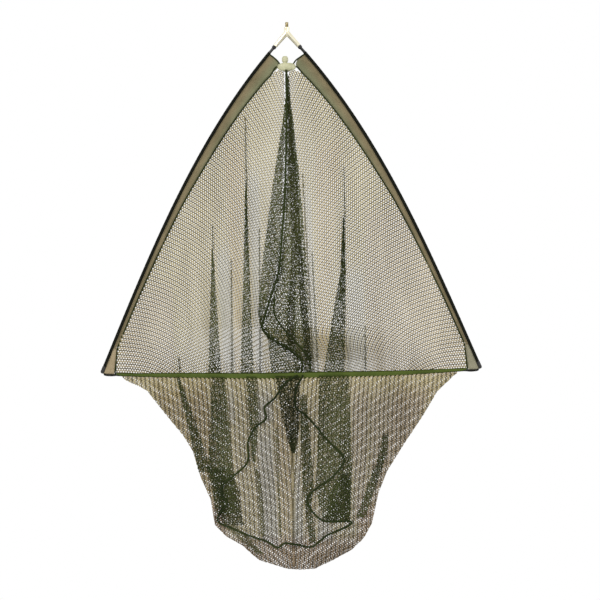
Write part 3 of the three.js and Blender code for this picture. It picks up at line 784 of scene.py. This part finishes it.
def patch(name, left, right, y, mat="net_shade", seed=0, width=3.0, step=6.2, slant=0.35):
    """A fold of the same netting between two edges given as (z, x) lists, top first, in a darker yarn that
    paints the fold's shade. Its yarns run across.
    """
    z_top, z_low = left[0][0], left[-1][0]
    tall = z_top - z_low
    widest = max(abs(pairs(right, z) - pairs(left, z)) for z in np.linspace(z_low, z_top, 40))
    rows = max(3, int(tall / step) + 1)
    cols = max(3, int(round(widest / 4.2)) + 1)
    rng = np.random.default_rng(len(name) * 31 + seed)
    loose = rng.normal(0, 0.75, (2, rows, cols))

    def place(a, b):
        share = b / (cols - 1)
        down = a / (rows - 1)
        i, j = np.clip(np.rint(a), 0, rows - 1).astype(int), b.astype(int)
        z = z_top - tall * down + slant * widest * (share - 0.5) * np.sin(np.pi * down) + loose[0, i, j]
        z = np.clip(z, z_low, z_top)
        x = pairs(left, z) * (1 - share) + pairs(right,
                                                 z) * share + loose[1, i, j] * (share > 0) * (share < 1)
        return np.stack([x, y(x, z, share), z], -1)

    return dress(lattice(name, place, rows, cols, None, 0.2, width, width, width * 0.95, seed % 2), mat,
                 mat)


def ahead(surface, gap, swell=2.5, length=9.0):
    """Just in front of a surface of the bag, and close to it at the fold's two edges."""
    def y(x, z, share):
        rise = np.sqrt(np.clip(np.sin(np.pi * np.clip(share, 0, 1)), 0, 1))
        return surface(x, z) - 2.1 - rise * (gap + swell * (0.5 + 0.5 * np.sin(x / length + z / 70.0)))
    return y


netting = []
for side in (-1, 1):
    netting.append(upper_net(side))


# folds, creases, centre seam and ridges of netting, whose darker yarn paints their shade
FOLDS = {
    "a": ([(-630, -218), (-700, -221), (-800, -226), (-985, -234)],
          [(-630, -216), (-700, -213), (-800, -208), (-985, -200)]),
    "b": ([(-440, -121), (-600, -127), (-800, -135), (-985, -143)],
          [(-440, -119), (-600, -117), (-800, -113), (-985, -108)]),
    "c": ([(-545, 152), (-694, 143), (-833, 118), (-985, 92)],
          [(-545, 154), (-694, 156), (-833, 154), (-985, 149)]),
}
folds = []
for key, (left, right) in FOLDS.items():
    folds.append(patch(f"fold_{key}", left, right, ahead(upper_surface, 1.5)))
CREASES = {
    "d": ([(-570, -86), (-760, -88), (-985, -91)], 5), "e": ([(-660, -166), (-820, -168), (-985, -171)], 5),
    "f": ([(-850, 209), (-985, 208)], 5), "g": ([(-640, 62), (-985, 74)], 4),
    "h": ([(-930, -318), (-985, -316)], 5),
    "b": ([(-260, -120), (-360, -121), (-440, -121)], 4), "a": ([(-560, -217), (-630, -217)], 4),
    "c": ([(-400, 154), (-545, 154)], 4), "k": ([(-420, 38), (-700, 50), (-985, 60)], 5),
}
for key, (line, wide) in CREASES.items():
    far = [(z, x + 1.0 + wide * (i + 0.4) / len(line)) for i, (z, x) in enumerate(line)]
    folds.append(patch(f"crease_{key}", line, far, ahead(upper_surface, 1.0, 1.0), "net_shade_mid", width=2.6,
                       step=4.6, slant=0.2))

CENTRE_L = [(-215, -6), (-273, -14), (-459, -46), (-644, -74), (-807, -92), (-849, -86), (-887, -64),
            (-985, -56)]
CENTRE_R = [(-150, 3), (-231, 8), (-274, 14), (-400, 26), (-505, 35), (-693, 47), (-924, 54), (-985, 58)]
CENTRE_M = [(-150, -4), (-273, -4), (-460, -11), (-600, -22), (-692, -32), (-761, -54), (-850, -81),
            (-877, -63),
            (-903, -26), (-924, 6), (-985, 14)]
folds.append(patch("centre_left", CENTRE_L, CENTRE_M, ahead(upper_surface, 1.0, 2.0)))
folds.append(patch("centre_right", CENTRE_M, CENTRE_R, ahead(upper_surface, 1.0, 2.0), seed=3))
SEAM = [(z, x) for x, z in SPINE[3:14]]
folds.append(patch("centre_seam", [(z, x - 5) for z, x in SEAM], [(z, x + 10) for z, x in SEAM],
                   ahead(upper_surface, 0.3, 0.6),
                   "net_shade_dark", width=3.3, step=4.6))
folds.append(patch("centre_seam_top", [(-136, -5.5), (-273, -7)], [(-136, 0.5), (-273, 2)],
                   ahead(upper_surface, 0.2, 0.3),
                   "net_shade", width=2.8, step=4.6))
RIDGE = [((-200, 0), (-400, 2), (-640, 6), (-800, -8), (-900, -12)),
         ((-260, 4), (-460, 14), (-700, 22), (-960, 40))]
for i, line in enumerate(RIDGE):
    near = [(z, x) for z, x in line]
    far = [(z, x + 5 + 5 * j) for j, (z, x) in enumerate(line)]
    folds.append(patch(f"centre_ridge_{i}", near, far, ahead(upper_surface, 4.2, 1.2), "net_shade_dark", seed=i,
                       width=2.9))


HEM_HALF = 488.0


def hem_mid(x):
    return -976.5 - 10 * (1 - (x / 480.0) ** 2) + 0.6 * np.sin(x / 61.0)


def hem_half(x):
    return pairs([(0, 10.0), (200, 9.2), (330, 7.4), (430, 5.6), (488, 4.2)], np.abs(x))


# lower bag: front and back panels that meet at the sides and round the bottom
def lower_y(x, z, side, front):
    ends = RIGHT_SIDE if side > 0 else LEFT_SIDE
    limit = np.minimum(np.abs(pairs(ends, np.clip(z, -1401, -985))), np.where(z < -1400, 218.0, 999.0))
    bottom = pairs(BOTTOM, np.clip(x, -218, 219)) + 1.0
    share = np.clip(np.abs(x) / limit, 0, 1)
    zc = np.maximum(z, -1401)
    back, fore = back_y(x, zc, side), front_y(x, zc, side)
    near = np.clip((z - bottom) / 75.0, 0, 1)
    bulge = np.sqrt(np.clip(1 - (1 - near) ** 2, 0, 1))
    middle = (back + fore) / 2
    deep = np.clip((-985 - z) / 120, 0, 1)
    wave = (3.0 * np.sin(x / 9.0 + z / 300 + front) + 3.0 * np.sin(x / 23.0 + z / 90 + 2 * front)) * deep
    return middle + ((fore if front else back) - middle) * bulge + wave * bulge * (1 - share ** 4)


def front_surface(x, z):
    """The front of the bag below the hem."""
    return np.where(x > 0, lower_y(x, z, 1, True), lower_y(x, z, -1, True))


def lower_net(side, front):
    word = ("front" if front else "back") + "_" + word_of(side)
    ends = RIGHT_SIDE if side > 0 else LEFT_SIDE
    slant = 0.06 if front else 0.36
    rows, steps, step, pitch = (90, 154, 3.6, 6.0) if front else (157, 164, 3.4, 4.5)

    def place(a, b):
        raw_x = np.clip(a * pitch * side, -470, 470)
        z_start = np.where(a * pitch < 470, hem_mid(raw_x) - 0.8 * hem_half(raw_x),
                           -978.0) if front else -985.0
        z = z_start - b * step
        x = (a * pitch + slant * (z + 985) + 1.5 * np.sin(z / 40.0) * np.clip((-990 - z) / 60, 0, 1)) * side
        z = np.maximum(z, pairs(BOTTOM, np.clip(x, -218, 219)) + 1.0)
        limit = np.minimum(np.abs(pairs(ends, np.clip(z, -1401, -985))), np.where(z < -1400, 218.0, 999.0))
        x = np.clip(x * side, -5, limit) * side
        return np.stack([x, lower_y(x, z, side, front), z], -1)

    def valid(a, b, p):
        x = p[..., 0] * side
        z = p[..., 2]
        above = np.roll(z, 1, 1)
        moving = (np.abs(above - z) > 0.4) | (b == 0)
        limit = np.abs(pairs(ends, np.clip(z, -1401, -985)))
        free = (x > -4.7) & (x < limit - 0.3)
        out = free.copy()
        out[:, :-1] |= free[:, 1:]
        out[1:] |= free[:-1]
        return out & moving

    def slim(p):
        return np.clip(1.0 - 0.2 * (-p[..., 2] - 985) / 500, 0.6, 1)

    obj = lattice(f"netting_{word}", place, rows, steps, valid, 0.16,
                  *((3.1, 5.0, 4.5) if front else (2.2, 3.7, 3.3)), front,
                  slim, full=0.93 * pitch, rib_depth=0.95)
    return dress(obj, "net_yarn", "net_rib")


for front in (False, True):
    for side in (-1, 1):
        netting.append(lower_net(side, front))


# folds of the lower bag, whose darker yarn paints their shade
LOWER_FOLDS = [
    ([(-988, -222), (-1121, -226), (-1244, -236), (-1367, -212)],
     [(-988, -186), (-1094, -176), (-1234, -168), (-1367, -150)], "net_shade"),
    ([(-988, -126), (-1122, -118), (-1223, -112)], [(-988, -98), (-1095, -92), (-1223, -104)], "net_shade"),
    ([(-988, -44), (-1096, -27), (-1200, -2)], [(-988, 22), (-1125, 20), (-1200, 8)], "net_shade_dark"),
    ([(-1040, 24), (-1192, 26), (-1315, 30), (-1449, 46)],
     [(-1040, 40), (-1293, 58), (-1348, 50), (-1449, 62)], "net_shade"),
    ([(-988, 78), (-1125, 74), (-1304, 66), (-1389, 84)],
     [(-988, 160), (-1227, 164), (-1330, 162), (-1389, 158)], "net_shade"),
    ([(-1150, 254), (-1211, 242), (-1383, 176)], [(-1150, 268), (-1211, 262), (-1383, 200)], "net_shade"),
    ([(-986, -320), (-1121, -290), (-1250, -262)], [(-986, -313), (-1121, -266), (-1250, -228)],
     "net_shade"),
    ([(-1238, -238), (-1300, -214), (-1346, -206), (-1398, -196)],
     [(-1238, -176), (-1300, -150), (-1346, -148), (-1398, -138)], "net_shade_dark"),
    ([(-1240, -104), (-1300, -96), (-1430, -90)], [(-1240, -98), (-1300, -86), (-1430, -78)], "net_shade_mid"),
    ([(-1130, -46), (-1430, -38)], [(-1130, -41), (-1430, -33)], "net_shade_mid"),
    ([(-1260, 128), (-1330, 100), (-1386, 92)], [(-1260, 160), (-1330, 158), (-1386, 152)], "net_shade_dark"),
    ([(-1396, -196), (-1430, -160), (-1480, -104)], [(-1396, -168), (-1430, -130), (-1480, -84)],
     "net_shade_mid"),
]
for i, (left, right, mat) in enumerate(LOWER_FOLDS):
    folds.append(patch(f"low_fold_{i}", left, right, ahead(front_surface, 1.2, 1.2), mat, seed=i,
                       width=3.2 if mat == "net_shade_dark" else 2.8))

# ------------------------------------------------------------------ cords on the netting
SPINE_2 = [(-44, -760), (-46, -812), (-25, -850), (11, -892), (48, -939), (52, -976), (32, -1013)]
LOOP_L = [(18, -985), (-18, -1007), (-46, -1046), (-75, -1073), (-72, -1104), (-103, -1129), (-123, -1170),
          (-122, -1207), (-130, -1232), (-161, -1259), (-192, -1284), (-198, -1312), (-184, -1340),
          (-207, -1370),
          (-207, -1392), (-174, -1407), (-118, -1430), (-74, -1444), (-46, -1461), (-24, -1448)]
LOOP_R = [(33, -985), (13, -1024), (12, -1074), (37, -1094), (70, -1131), (97, -1165), (138, -1207),
          (141, -1232),
          (107, -1271), (53, -1309), (42, -1343), (83, -1388), (156, -1392), (153, -1405), (94, -1430),
          (51, -1460),
          (15, -1454), (-24, -1448)]


def on_net(points, gap, level=None):
    out = []
    for x, z in points:
        surface = upper_surface if level is None else front_surface
        out.append((x, float(surface(np.array([float(x)]), np.array([float(z)]))[0]) - gap, z))
    return out


spine = twisted_cord("spine_cord", on_net(SPINE, 9.6), 6.4, strands=3)
spine_2 = twisted_cord("spine_cord_2", on_net(SPINE_2, 15.0), 5.2, strands=3, taper=12)
loop_l = twisted_cord("base_cord_left", on_net(LOOP_L, 7.4, 1.0), 6.0, strands=3)
loop_r = twisted_cord("base_cord_right", on_net(LOOP_R, 7.4, 1.0), 6.0, strands=3)
for o in (spine, spine_2, loop_l, loop_r):
    dress(o, "green_cord")
belongs(spine, "block_and_bag", "green_cord", "spine_seam_cord")
belongs(spine_2, "block_and_bag", "green_cord")
belongs(loop_l, "block_and_bag", "green_cord", "base_seam_left")
belongs(loop_r, "block_and_bag", "green_cord", "base_seam_right")


def follow(obj):
    """The piece's transform is baked into its mesh."""
    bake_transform(obj)


def arm_line(s0, s1, step, side, w=0.0):
    s = np.linspace(s0, s1, max(3, int((s1 - s0) / step) + 1))
    x, z = beside(s, w if np.isscalar(w) else w(s))
    return s, np.stack([x * side, np.zeros_like(x), z], 1)


def strip(loop, u, v):
    """Quads and UV of a row of closed loops, with flat ends. loop is (n, m, 3), v is (n, m)."""
    n, m = loop.shape[:2]
    quads = tube_quads(n, m)
    caps = []
    for row, flip in ((0, False), (n - 1, True)):
        for a in range(m // 2 - 1):
            q = [row * m + a, row * m + a + 1, row * m + m - 2 - a, row * m + m - 1 - a]
            caps.append(q[::-1] if flip else q)
    uv = np.stack([np.repeat(u[:, None], m, 1), v], -1).reshape(-1, 2)
    return loop.reshape(-1, 3), np.vstack([quads, caps]), uv


TIP_IN = np.array([494.0, 0, -976.2])
TIP_OUT = np.array([526.0, 0, -974.2])


def web_rows(side):
    """Outer and inner edge of the cloth band, one row after another from the lock to the corner."""
    s = np.concatenate([np.linspace(27, 60, 14), np.arange(64, 957, 4.0)])
    x0, z0 = beside(s, 4.1)
    x1, z1 = beside(s, web_width(s))
    outer = np.stack([x0, 0 * x0, z0], 1)
    inner = np.stack([x1, 0 * x1, z1], 1)
    t = np.linspace(0, 1, 16)[1:, None]
    outer = np.vstack([outer, outer[-1] + (TIP_OUT - outer[-1]) * t])
    inner = np.vstack([inner, inner[-1] + (TIP_IN - inner[-1]) * t ** 0.96])
    along = np.concatenate([s, s[-1] + 60 * t[:, 0]])
    flip = np.array([side, 1, 1])
    return along, outer * flip, inner * flip


def sleeve(side):
    word = word_of(side)
    # tunnel round the rod
    s, line = arm_line(24, 1017, 2.0, side)
    turn = round_angles(18)
    pucker = 0.10 * np.sin(s / 2.1)[:, None] * np.cos(turn)[None, :]
    radius = 4.55 + pucker + 0.10 * np.sin(s / 11.0)[:, None] * np.sin(2 * turn)[None, :]
    radius = radius + 0.35 * np.exp(-((s - 25.5) / 1.5) ** 2)[:, None]
    radius = radius + 0.3 * np.exp(-((s - 1015.5) / 1.5) ** 2)[:, None]
    tunnel = sweep(f"sleeve_tunnel_{word}", line,
                   np.stack([np.cos(turn) * radius, np.sin(turn) * radius], -1))
    dress(tunnel, "black_cloth")
    # cloth band from the tunnel to the piping: two layers, a little uneven
    along, outer, inner = web_rows(side)
    cuts = np.linspace(0, 1, 11)
    mid = outer[:, None] + (inner - outer)[:, None] * cuts[None, :, None]
    wide = np.linalg.norm(inner - outer, axis=1)
    soft = np.clip(wide / 14, 0.35, 2)[:, None] * np.sin(np.pi * cuts)[None, :]
    lift = soft * (0.5 * np.sin(along / 31.0) + 0.4 * np.sin(along / 12.7 + 1.3))[:, None]
    lift = lift + 0.35 * np.sin(along[:, None] / 7.0 + 5 * cuts[None, :]) * soft
    half = 0.75 + 0.5 * np.exp(-((cuts - 0.14) / 0.07) ** 2)
    half = (half + 0.3 * np.exp(-((cuts - 0.95) / 0.05) ** 2))[None, :]
    faces = [mid + (lift + sign * half)[..., None] * np.array([0, -1.0, 0]) for sign in (1, -1)]
    loop = np.concatenate([faces[0], faces[1][:, ::-1]], 1)
    v = wide[:, None] * cuts[None, :]
    verts, quads, uv = strip(loop, along, np.concatenate([v, v[:, ::-1] + 60], 1))
    web = new_mesh(f"sleeve_web_{word}", verts, quads, None, uv)
    dress(web, "olive_cloth", "tan_cloth" if side < 0 else "grey_cloth")
    at = np.repeat(along, loop.shape[1])[quads[:, 0]]
    web.data.polygons.foreach_set("material_index", (at > 957).astype(np.int32))
    web.data.update()
    rows = []
    for y in (-1.25, 1.25):
        path = outer + unit(inner - outer) * 2.6 + np.array([0, y, 0])
        rows.append(stitches(f"stitch_{word}", path[2:-3], (0, np.sign(y), 0), 3.2, 1.8, 0.33))
    path = inner - unit(inner - outer) * 2.4 + np.array([0, -1.1, 0])
    rows.append(stitches("stitch_in", path[6:-2], (0, -1, 0), 3.0, 1.8, 0.3))
    _, path = arm_line(27, 1013, 2.0, side)
    path[:, 1] = -4.6
    rows.append(stitches("stitch_tube", path, (0, -1, 0), 3.2, 2.2, 0.25))
    thread = dress(join(f"sleeve_stitches_{word}", rows), "thread_green")
    # piping
    start_x = 24.0 if side > 0 else 28.5
    edge = inner + unit(inner - outer) * 2.0
    pts = [(start_x * side, 0, -124), ((start_x + 6) * side, -1, -128)]
    pts += [tuple(q) for q in edge[16:-3:3]]
    pts += [((TIP_IN[0] - 3) * side, 0, -973.0), ((TIP_IN[0] - 9) * side, 0, -977.0)]
    piping = dress(twisted_cord(f"sleeve_piping_{word}", pts, 4.6, step=1.5, sides=10), "green_cord")
    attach(tunnel, f"{word}_arm")
    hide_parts(f"{word}_sleeve_tunnel")
    for o in (web, thread, piping):
        follow(o)
    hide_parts(f"{word}_sleeve_web", f"{word}_corner_gusset")
    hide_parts(f"{word}_sleeve_piping")


def cap_profile(side):
    """Rounded moulded cap on the arm's end, with two grip rings."""
    word = word_of(side)
    prof = [(0.01, 8.0), (2.0, 7.7), (3.8, 6.6), (5.0, 4.6), (5.4, 2.0), (5.4, -1.0), (5.05, -1.5),
            (5.05, -2.7),
            (5.4, -3.2), (5.4, -5.4), (5.05, -5.9), (5.05, -7.1), (5.4, -7.6), (5.4, -11.0), (5.2, -12.0),
            (4.35, -12.0), (4.3, -8.0)]
    return ring_body(f"arm_cap_{word}", prof, side, ARM_LENGTH)


def ring_body(name, prof, side, s_at, sides=32):
    """Turned piece about the arm's line: profile of (radius, distance along the arm past s_at)."""
    x, z = beside(s_at, 0.0)
    angle = float(arm_angle(s_at))
    axis = np.array([math.sin(angle) * side, 0, -math.cos(angle)])
    other = np.array([math.cos(angle) * side, 0, math.sin(angle)])
    front = np.array([0, -1.0, 0])
    centre = np.array([float(x) * side, 0, float(z)])
    turn = round_angles(sides)
    prof = np.asarray(prof, float)
    spoke = np.cos(turn)[None, :, None] * other + np.sin(turn)[None, :, None] * front
    verts = centre + prof[:, 1][:, None, None] * axis + prof[:, 0][:, None, None] * spoke
    quads = tube_quads(len(prof), sides, True)
    if side < 0:
        quads = quads[:, ::-1]
    return new_mesh(name, verts.reshape(-1, 3), quads)


for side in (-1, 1):
    word = word_of(side)
    arm = f"{word}_arm"
    sleeve(side)
    _, line = arm_line(-28, ARM_LENGTH, 12.0, side)
    rod = dress(sweep(f"rod_{word}", line, circle(4.0, 24)), "lacquer")
    belongs(rod, arm, "gloss_black", f"{word}_arm_rod")
    collar_prof = [(4.15, 0.6), (5.4, 0.6), (5.9, 1.0), (6.0, 2.2), (5.7, 2.8), (5.7, 3.4), (6.0, 4.0),
                   (6.0, 5.2),
                   (5.7, 5.8), (5.7, 6.2), (5.9, 6.8), (5.6, 7.8), (4.15, 8.4), (4.15, 0.6)]
    collar = dress(ring_body(f"collar_{word}", collar_prof, side, 0.0), "rubber")
    belongs(collar, arm, "gloss_black", f"{word}_arm_collar")
    cap = dress(cap_profile(side), "rubber")
    belongs(cap, arm, "gloss_black", f"{word}_tip_cap")
    tip_x = float(beside(ARM_LENGTH, 0.0)[0])
    pts = [((tip_x - 3) * side, 0, -974.5), ((tip_x - 9) * side, 0, -977.2),
           ((tip_x - 24) * side, 0, -978.4),
           (490 * side, 0, -977.6), (480 * side, 0, -976.8)]
    end = dress(twisted_cord(f"cord_end_{word}", pts, 6.8, step=1.0, strands=4, lay=7), "black_cord")
    belongs(end, arm, "black_fabric", f"{word}_cord_end")

# ------------------------------------------------------------------ front hem: folded tape round the cord
def hem(side):
    word = word_of(side)
    x = np.linspace(0, HEM_HALF, 170)
    n = len(x)
    z = hem_mid(x * side)
    h = hem_half(x)
    line = np.stack([x * side, np.zeros(n), z], 1)
    k = 22
    turn = round_angles(k)
    # front and back are nearly flat, swelling over the cord in the upper third, edges rounded
    up = np.sign(np.sin(turn)) * np.abs(np.sin(turn)) ** 0.75
    out = np.sign(np.cos(turn)) * np.abs(np.cos(turn)) ** 0.8
    height = up[None, :] * h[:, None]
    swell = 1.7 + 1.9 * np.exp(-((height - 0.28 * h[:, None]) / 3.4) ** 2)
    depth = out[None, :] * swell + 0.25 * np.sin(x[:, None] / 7.0 + up[None, :] * 2)
    verts = line[:, None] + np.stack([np.zeros_like(height), -depth, height], -1)
    quads = tube_quads(n, k, True)
    if side < 0:
        quads = quads[:, ::-1]
    girth = np.cumsum(np.full(k, 2.4))
    uv = np.stack(np.meshgrid(x, girth, indexing="ij"), -1).reshape(-1, 2)
    tape = dress(new_mesh(f"hem_{word}", verts.reshape(-1, 3), quads, None, uv), "tape_cloth", "tape_edge")
    rim = (np.abs(up) > 0.80).astype(np.int32)
    tape.data.polygons.foreach_set("material_index", np.tile(rim, n - 1))
    rows = []
    for share, y in ((-0.62, -1), (0.78, -1), (-0.62, 1), (0.78, 1)):
        depth_at = 1.7 + 1.9 * np.exp(-((share * h - 0.28 * h) / 3.4) ** 2)
        path = line + np.stack([np.zeros(n), y * (depth_at * 0.93), share * h], 1)
        rows.append(stitches("hem_stitch", path, (0, y, 0), 3.4, 1.9, 0.32))
    thread = dress(join(f"hem_stitches_{word}", rows), "thread_green")
    follow(tape)
    follow(thread)
    return tape


hems = {side: hem(side) for side in (-1, 1)}
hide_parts("front_hem")
core = dress(sweep("front_cord_core", np.stack([np.linspace(-478, 478, 60), np.zeros(60),
                                              hem_mid(np.linspace(-478, 478, 60)) + 2.0], 1),
                                              circle(1.5, 10)), "black_cord")
belongs(core, "block_and_bag", "black_fabric", "front_cord")

# ------------------------------------------------------------------ stud, block, cord lock
def stud():
    sides, pitch = 48, 1.27
    z = np.concatenate([np.linspace(0, -14, 190), [-14.3, -23.0]])
    turn = round_angles(sides)
    phase = (z[:, None] / pitch + turn[None, :] / (2 * np.pi)) % 1.0
    tooth = np.clip(1.35 * (1 - np.abs(2 * phase - 1)) - 0.12, 0, 1)
    fade = np.clip((z + 13.2) / 0.8, 0, 1)[:, None]
    radius = 3.98 + 0.76 * tooth * fade
    chamfer = np.clip(3.7 + (-z) * 1.0, 0, 4.74)[:, None]
    radius = np.minimum(radius, chamfer)
    verts = np.stack([np.cos(turn) * radius, np.sin(turn) * radius,
                      np.broadcast_to(z[:, None], radius.shape)], -1)
    n = len(z)
    quads = tube_quads(n, sides)
    verts = verts.reshape(-1, 3)
    tris = []
    for row, flip, zz in ((0, False, 0.0), (n - 1, True, -23.0)):
        c = len(verts)
        verts = np.vstack([verts, [0, 0, zz]])
        for a in range(sides):
            tri = [c, row * sides + a, row * sides + (a + 1) % sides]
            tris.append(tri[::-1] if flip else tri)
    return new_mesh("stud_thread", verts, quads, tris)


def apply_all(obj):
    deps = bpy.context.evaluated_depsgraph_get()
    data = bpy.data.meshes.new_from_object(obj.evaluated_get(deps))
    obj.modifiers.clear()
    obj.data = data
    return obj


def cone(a, b, ra, rb, sides=48):
    a, b = np.asarray(a, float), np.asarray(b, float)
    line = np.stack([a + (b - a) * t for t in np.linspace(0, 1, 9)])
    radii = np.linspace(ra, rb, 9)
    turn = round_angles(sides)
    rings = np.stack([np.cos(turn)[None, :] * radii[:, None], np.sin(turn)[None, :] * radii[:, None]], -1)
    return sweep("tool", line, rings, up=(0.0, -1.0, 0.0), uv=False)


def cut(obj, tools, operation="DIFFERENCE"):
    for t in tools:
        m = obj.modifiers.new("cut", "BOOLEAN")
        m.operation = operation
        m.object = t
        m.solver = "EXACT"
    apply_all(obj)
    for t in tools:
        bpy.data.objects.remove(t)
    return obj


def smooth_faces(obj, angle=40):
    obj.data.polygons.foreach_set("use_smooth", np.ones(len(obj.data.polygons), bool))
    bpy.context.view_layer.objects.active = obj
    obj.select_set(True)
    bpy.ops.object.shade_smooth_by_angle(angle=math.radians(angle))
    obj.select_set(False)
    if any(m.type == "NODES" for m in obj.modifiers):
        apply_all(obj)
    return obj


def block():
    a = math.radians(LEG_ANGLE)
    hub = np.array([0, 0, HUB_Z])
    parts = [cone((0, 0, -34), (0, 0, -14.2), 7.0, 7.4), cone((0, 0, -17.2), (0, 0, -14.1), 7.5, 7.5)]
    for side in (-1, 1):
        way = np.array([math.sin(a) * side, 0, -math.cos(a)])
        parts.append(cone(hub - way * 3, hub + way * 49.6, 7.3, 6.0))
        parts.append(cone(hub + way * 46.2, hub + way * 49.8, 6.35, 6.35))
    body = join("block_cast", parts)
    m = body.modifiers.new("one", "REMESH")
    m.mode = "VOXEL"
    m.voxel_size = 0.00055
    sm = body.modifiers.new("soft", "SMOOTH")
    sm.factor = 0.5
    sm.iterations = 7
    apply_all(body)
    tools = [cone((0, 0, -23.4), (0, 0, -12), 5.0, 5.0)]
    for side in (-1, 1):
        way = np.array([math.sin(a) * side, 0, -math.cos(a)])
        tools.append(cone(hub + way * 20, hub + way * 54, 4.3, 4.3))
    return cut(body, tools)


stud_obj = dress(stud(), "thread")
belongs(stud_obj, "block_and_bag", "brass", "handle_stud")
block_obj = dress(smooth_faces(block()), "plating")
belongs(block_obj, "block_and_bag", "chrome", "spreader_block")

LOCK_X, LOCK_Z, PLUNGER_X = -2.0, -124.6, -6.0


def lock_body():
    nu, nv = 72, 44
    lon = round_angles(nu)
    lat = np.linspace(-np.pi / 2, np.pi / 2, nv)

    def power(v, e):
        return np.sign(v) * np.abs(v) ** e

    cx = power(np.cos(lat), 0.75)[:, None] * power(np.cos(lon), 0.8)[None, :]
    cy = power(np.cos(lat), 0.75)[:, None] * power(np.sin(lon), 0.9)[None, :]
    cz = power(np.sin(lat), 0.62)[:, None] * np.ones(nu)[None, :]
    ribs = 1 + 0.018 * np.cos(18 * lon)[None, :] * np.clip(np.cos(lat) * 2 - 0.6, 0, 1)[:, None]
    x = LOCK_X + 25.2 * cx * ribs
    y = 8.8 * cy * ribs
    z = LOCK_Z + 11.6 * cz * (1 - 0.16 * cx ** 2)
    verts = np.stack([x, y, z], -1).reshape(-1, 3)
    body = new_mesh("lock_body", verts, tube_quads(nv, nu, True))
    m = body.modifiers.new("weld", "WELD")
    m.merge_threshold = 1e-6
    apply_all(body)
    tools = [cone((PLUNGER_X, 0, -133.4), (PLUNGER_X, 0, -110), 6.0, 6.0),
             cone((-40, 0, -122), (40, 0, -122), 2.8, 2.8)]
    return smooth_faces(cut(body, tools), 35)


def lock_button():
    prof = [(0.01, -127.0), (5.2, -127.0), (5.7, -126.4), (5.7, -112.4), (6.4, -111.9), (8.3, -109.6),
            (8.9, -107.0),
            (8.7, -105.6), (8.9, -104.2), (8.8, -101.6), (8.0, -98.6), (6.4, -96.0), (5.2, -95.1),
            (4.6, -95.4),
            (3.0, -95.0), (1.2, -94.3), (0.01, -94.1)]
    prof = np.asarray(prof)
    sides = 40
    turn = round_angles(sides)
    verts = np.stack([PLUNGER_X + prof[:, :1] * np.cos(turn), prof[:, :1] * np.sin(turn),
                      np.broadcast_to(prof[:, 1:], (len(prof), sides))], -1)
    quads = tube_quads(len(prof), sides, True)
    body = new_mesh("lock_button_top", verts.reshape(-1, 3), quads)
    m = body.modifiers.new("weld", "WELD")
    m.merge_threshold = 2.5e-5
    apply_all(body)
    tool = new_mesh("tool", [(PLUNGER_X + sx * 12, sy * 2.8, z) for z in (-124.8, -115.8) for sx, sy in
                             ((-1, -1), (1, -1), (1, 1), (-1, 1))],
                    [(0, 3, 2, 1), (4, 5, 6, 7), (0, 1, 5, 4), (1, 2, 6, 5), (2, 3, 7, 6), (3, 0, 4, 7)],
                    smooth=False)
    return smooth_faces(cut(body, [tool]), 35)


lock = dress(lock_body(), "lock_plastic")
belongs(lock, "block_and_bag", "cream_plastic", "cord_lock_body")
button = dress(lock_button(), "lock_plastic")
belongs(button, "lock_button", "cream_plastic", "cord_lock_button")
turn = np.linspace(0, 6 * np.pi, 120)
coil = np.stack([PLUNGER_X + 4 * np.cos(turn), 4 * np.sin(turn), np.linspace(-132.6, -127.6, 120)], 1)
spring = dress(sweep("lock_spring", coil, circle(0.4, 8), up=(0, 0, 1)), "wire")
belongs(spring, "block_and_bag", "spring_steel", "cord_lock_spring")
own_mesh(spring)

draw = twisted_cord("drawcord_laid",
                    [(-51, 0, -88), (-39, -1.5, -97), (-28, -2, -107), (-22, -1, -115), (-17, 0, -121),
                                      (-6, 0, -122), (13, 0, -122), (18, -1, -115), (25, -2, -106),
                                      (37, -1.5, -97.5),
                                      (51, 0, -88)], 4.4, step=0.8, strands=4, lay=7)
dress(draw, "green_cord")
belongs(draw, "block_and_bag", "green_cord", "drawcord")

# ------------------------------------------------------------------ netting in place; its folds move with the block and bag
for i, obj in enumerate(netting):
    follow(obj)
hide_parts("net_back_left")
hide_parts("net_back_right")
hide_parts("net_front", "net_base")
for o in folds:
    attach(o, "block_and_bag")


for i, obj in enumerate(netting):
    side = -1 if i % 2 == 0 else 1
    word = word_of(side)
    if i < 2:
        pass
    elif i < 4:
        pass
    else:
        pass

# ------------------------------------------------------------------ floor
bpy.ops.mesh.primitive_plane_add(size=5.0, location=(0, 0, -2.1))
floor = bpy.context.active_object
floor.name = "floor"
m, nodes, links, bsdf = material("floor_paint")
bsdf.inputs["Base Color"].default_value = (0.86, 0.86, 0.85, 1)
bsdf.inputs["Roughness"].default_value = 0.9
floor.data.materials.append(m)
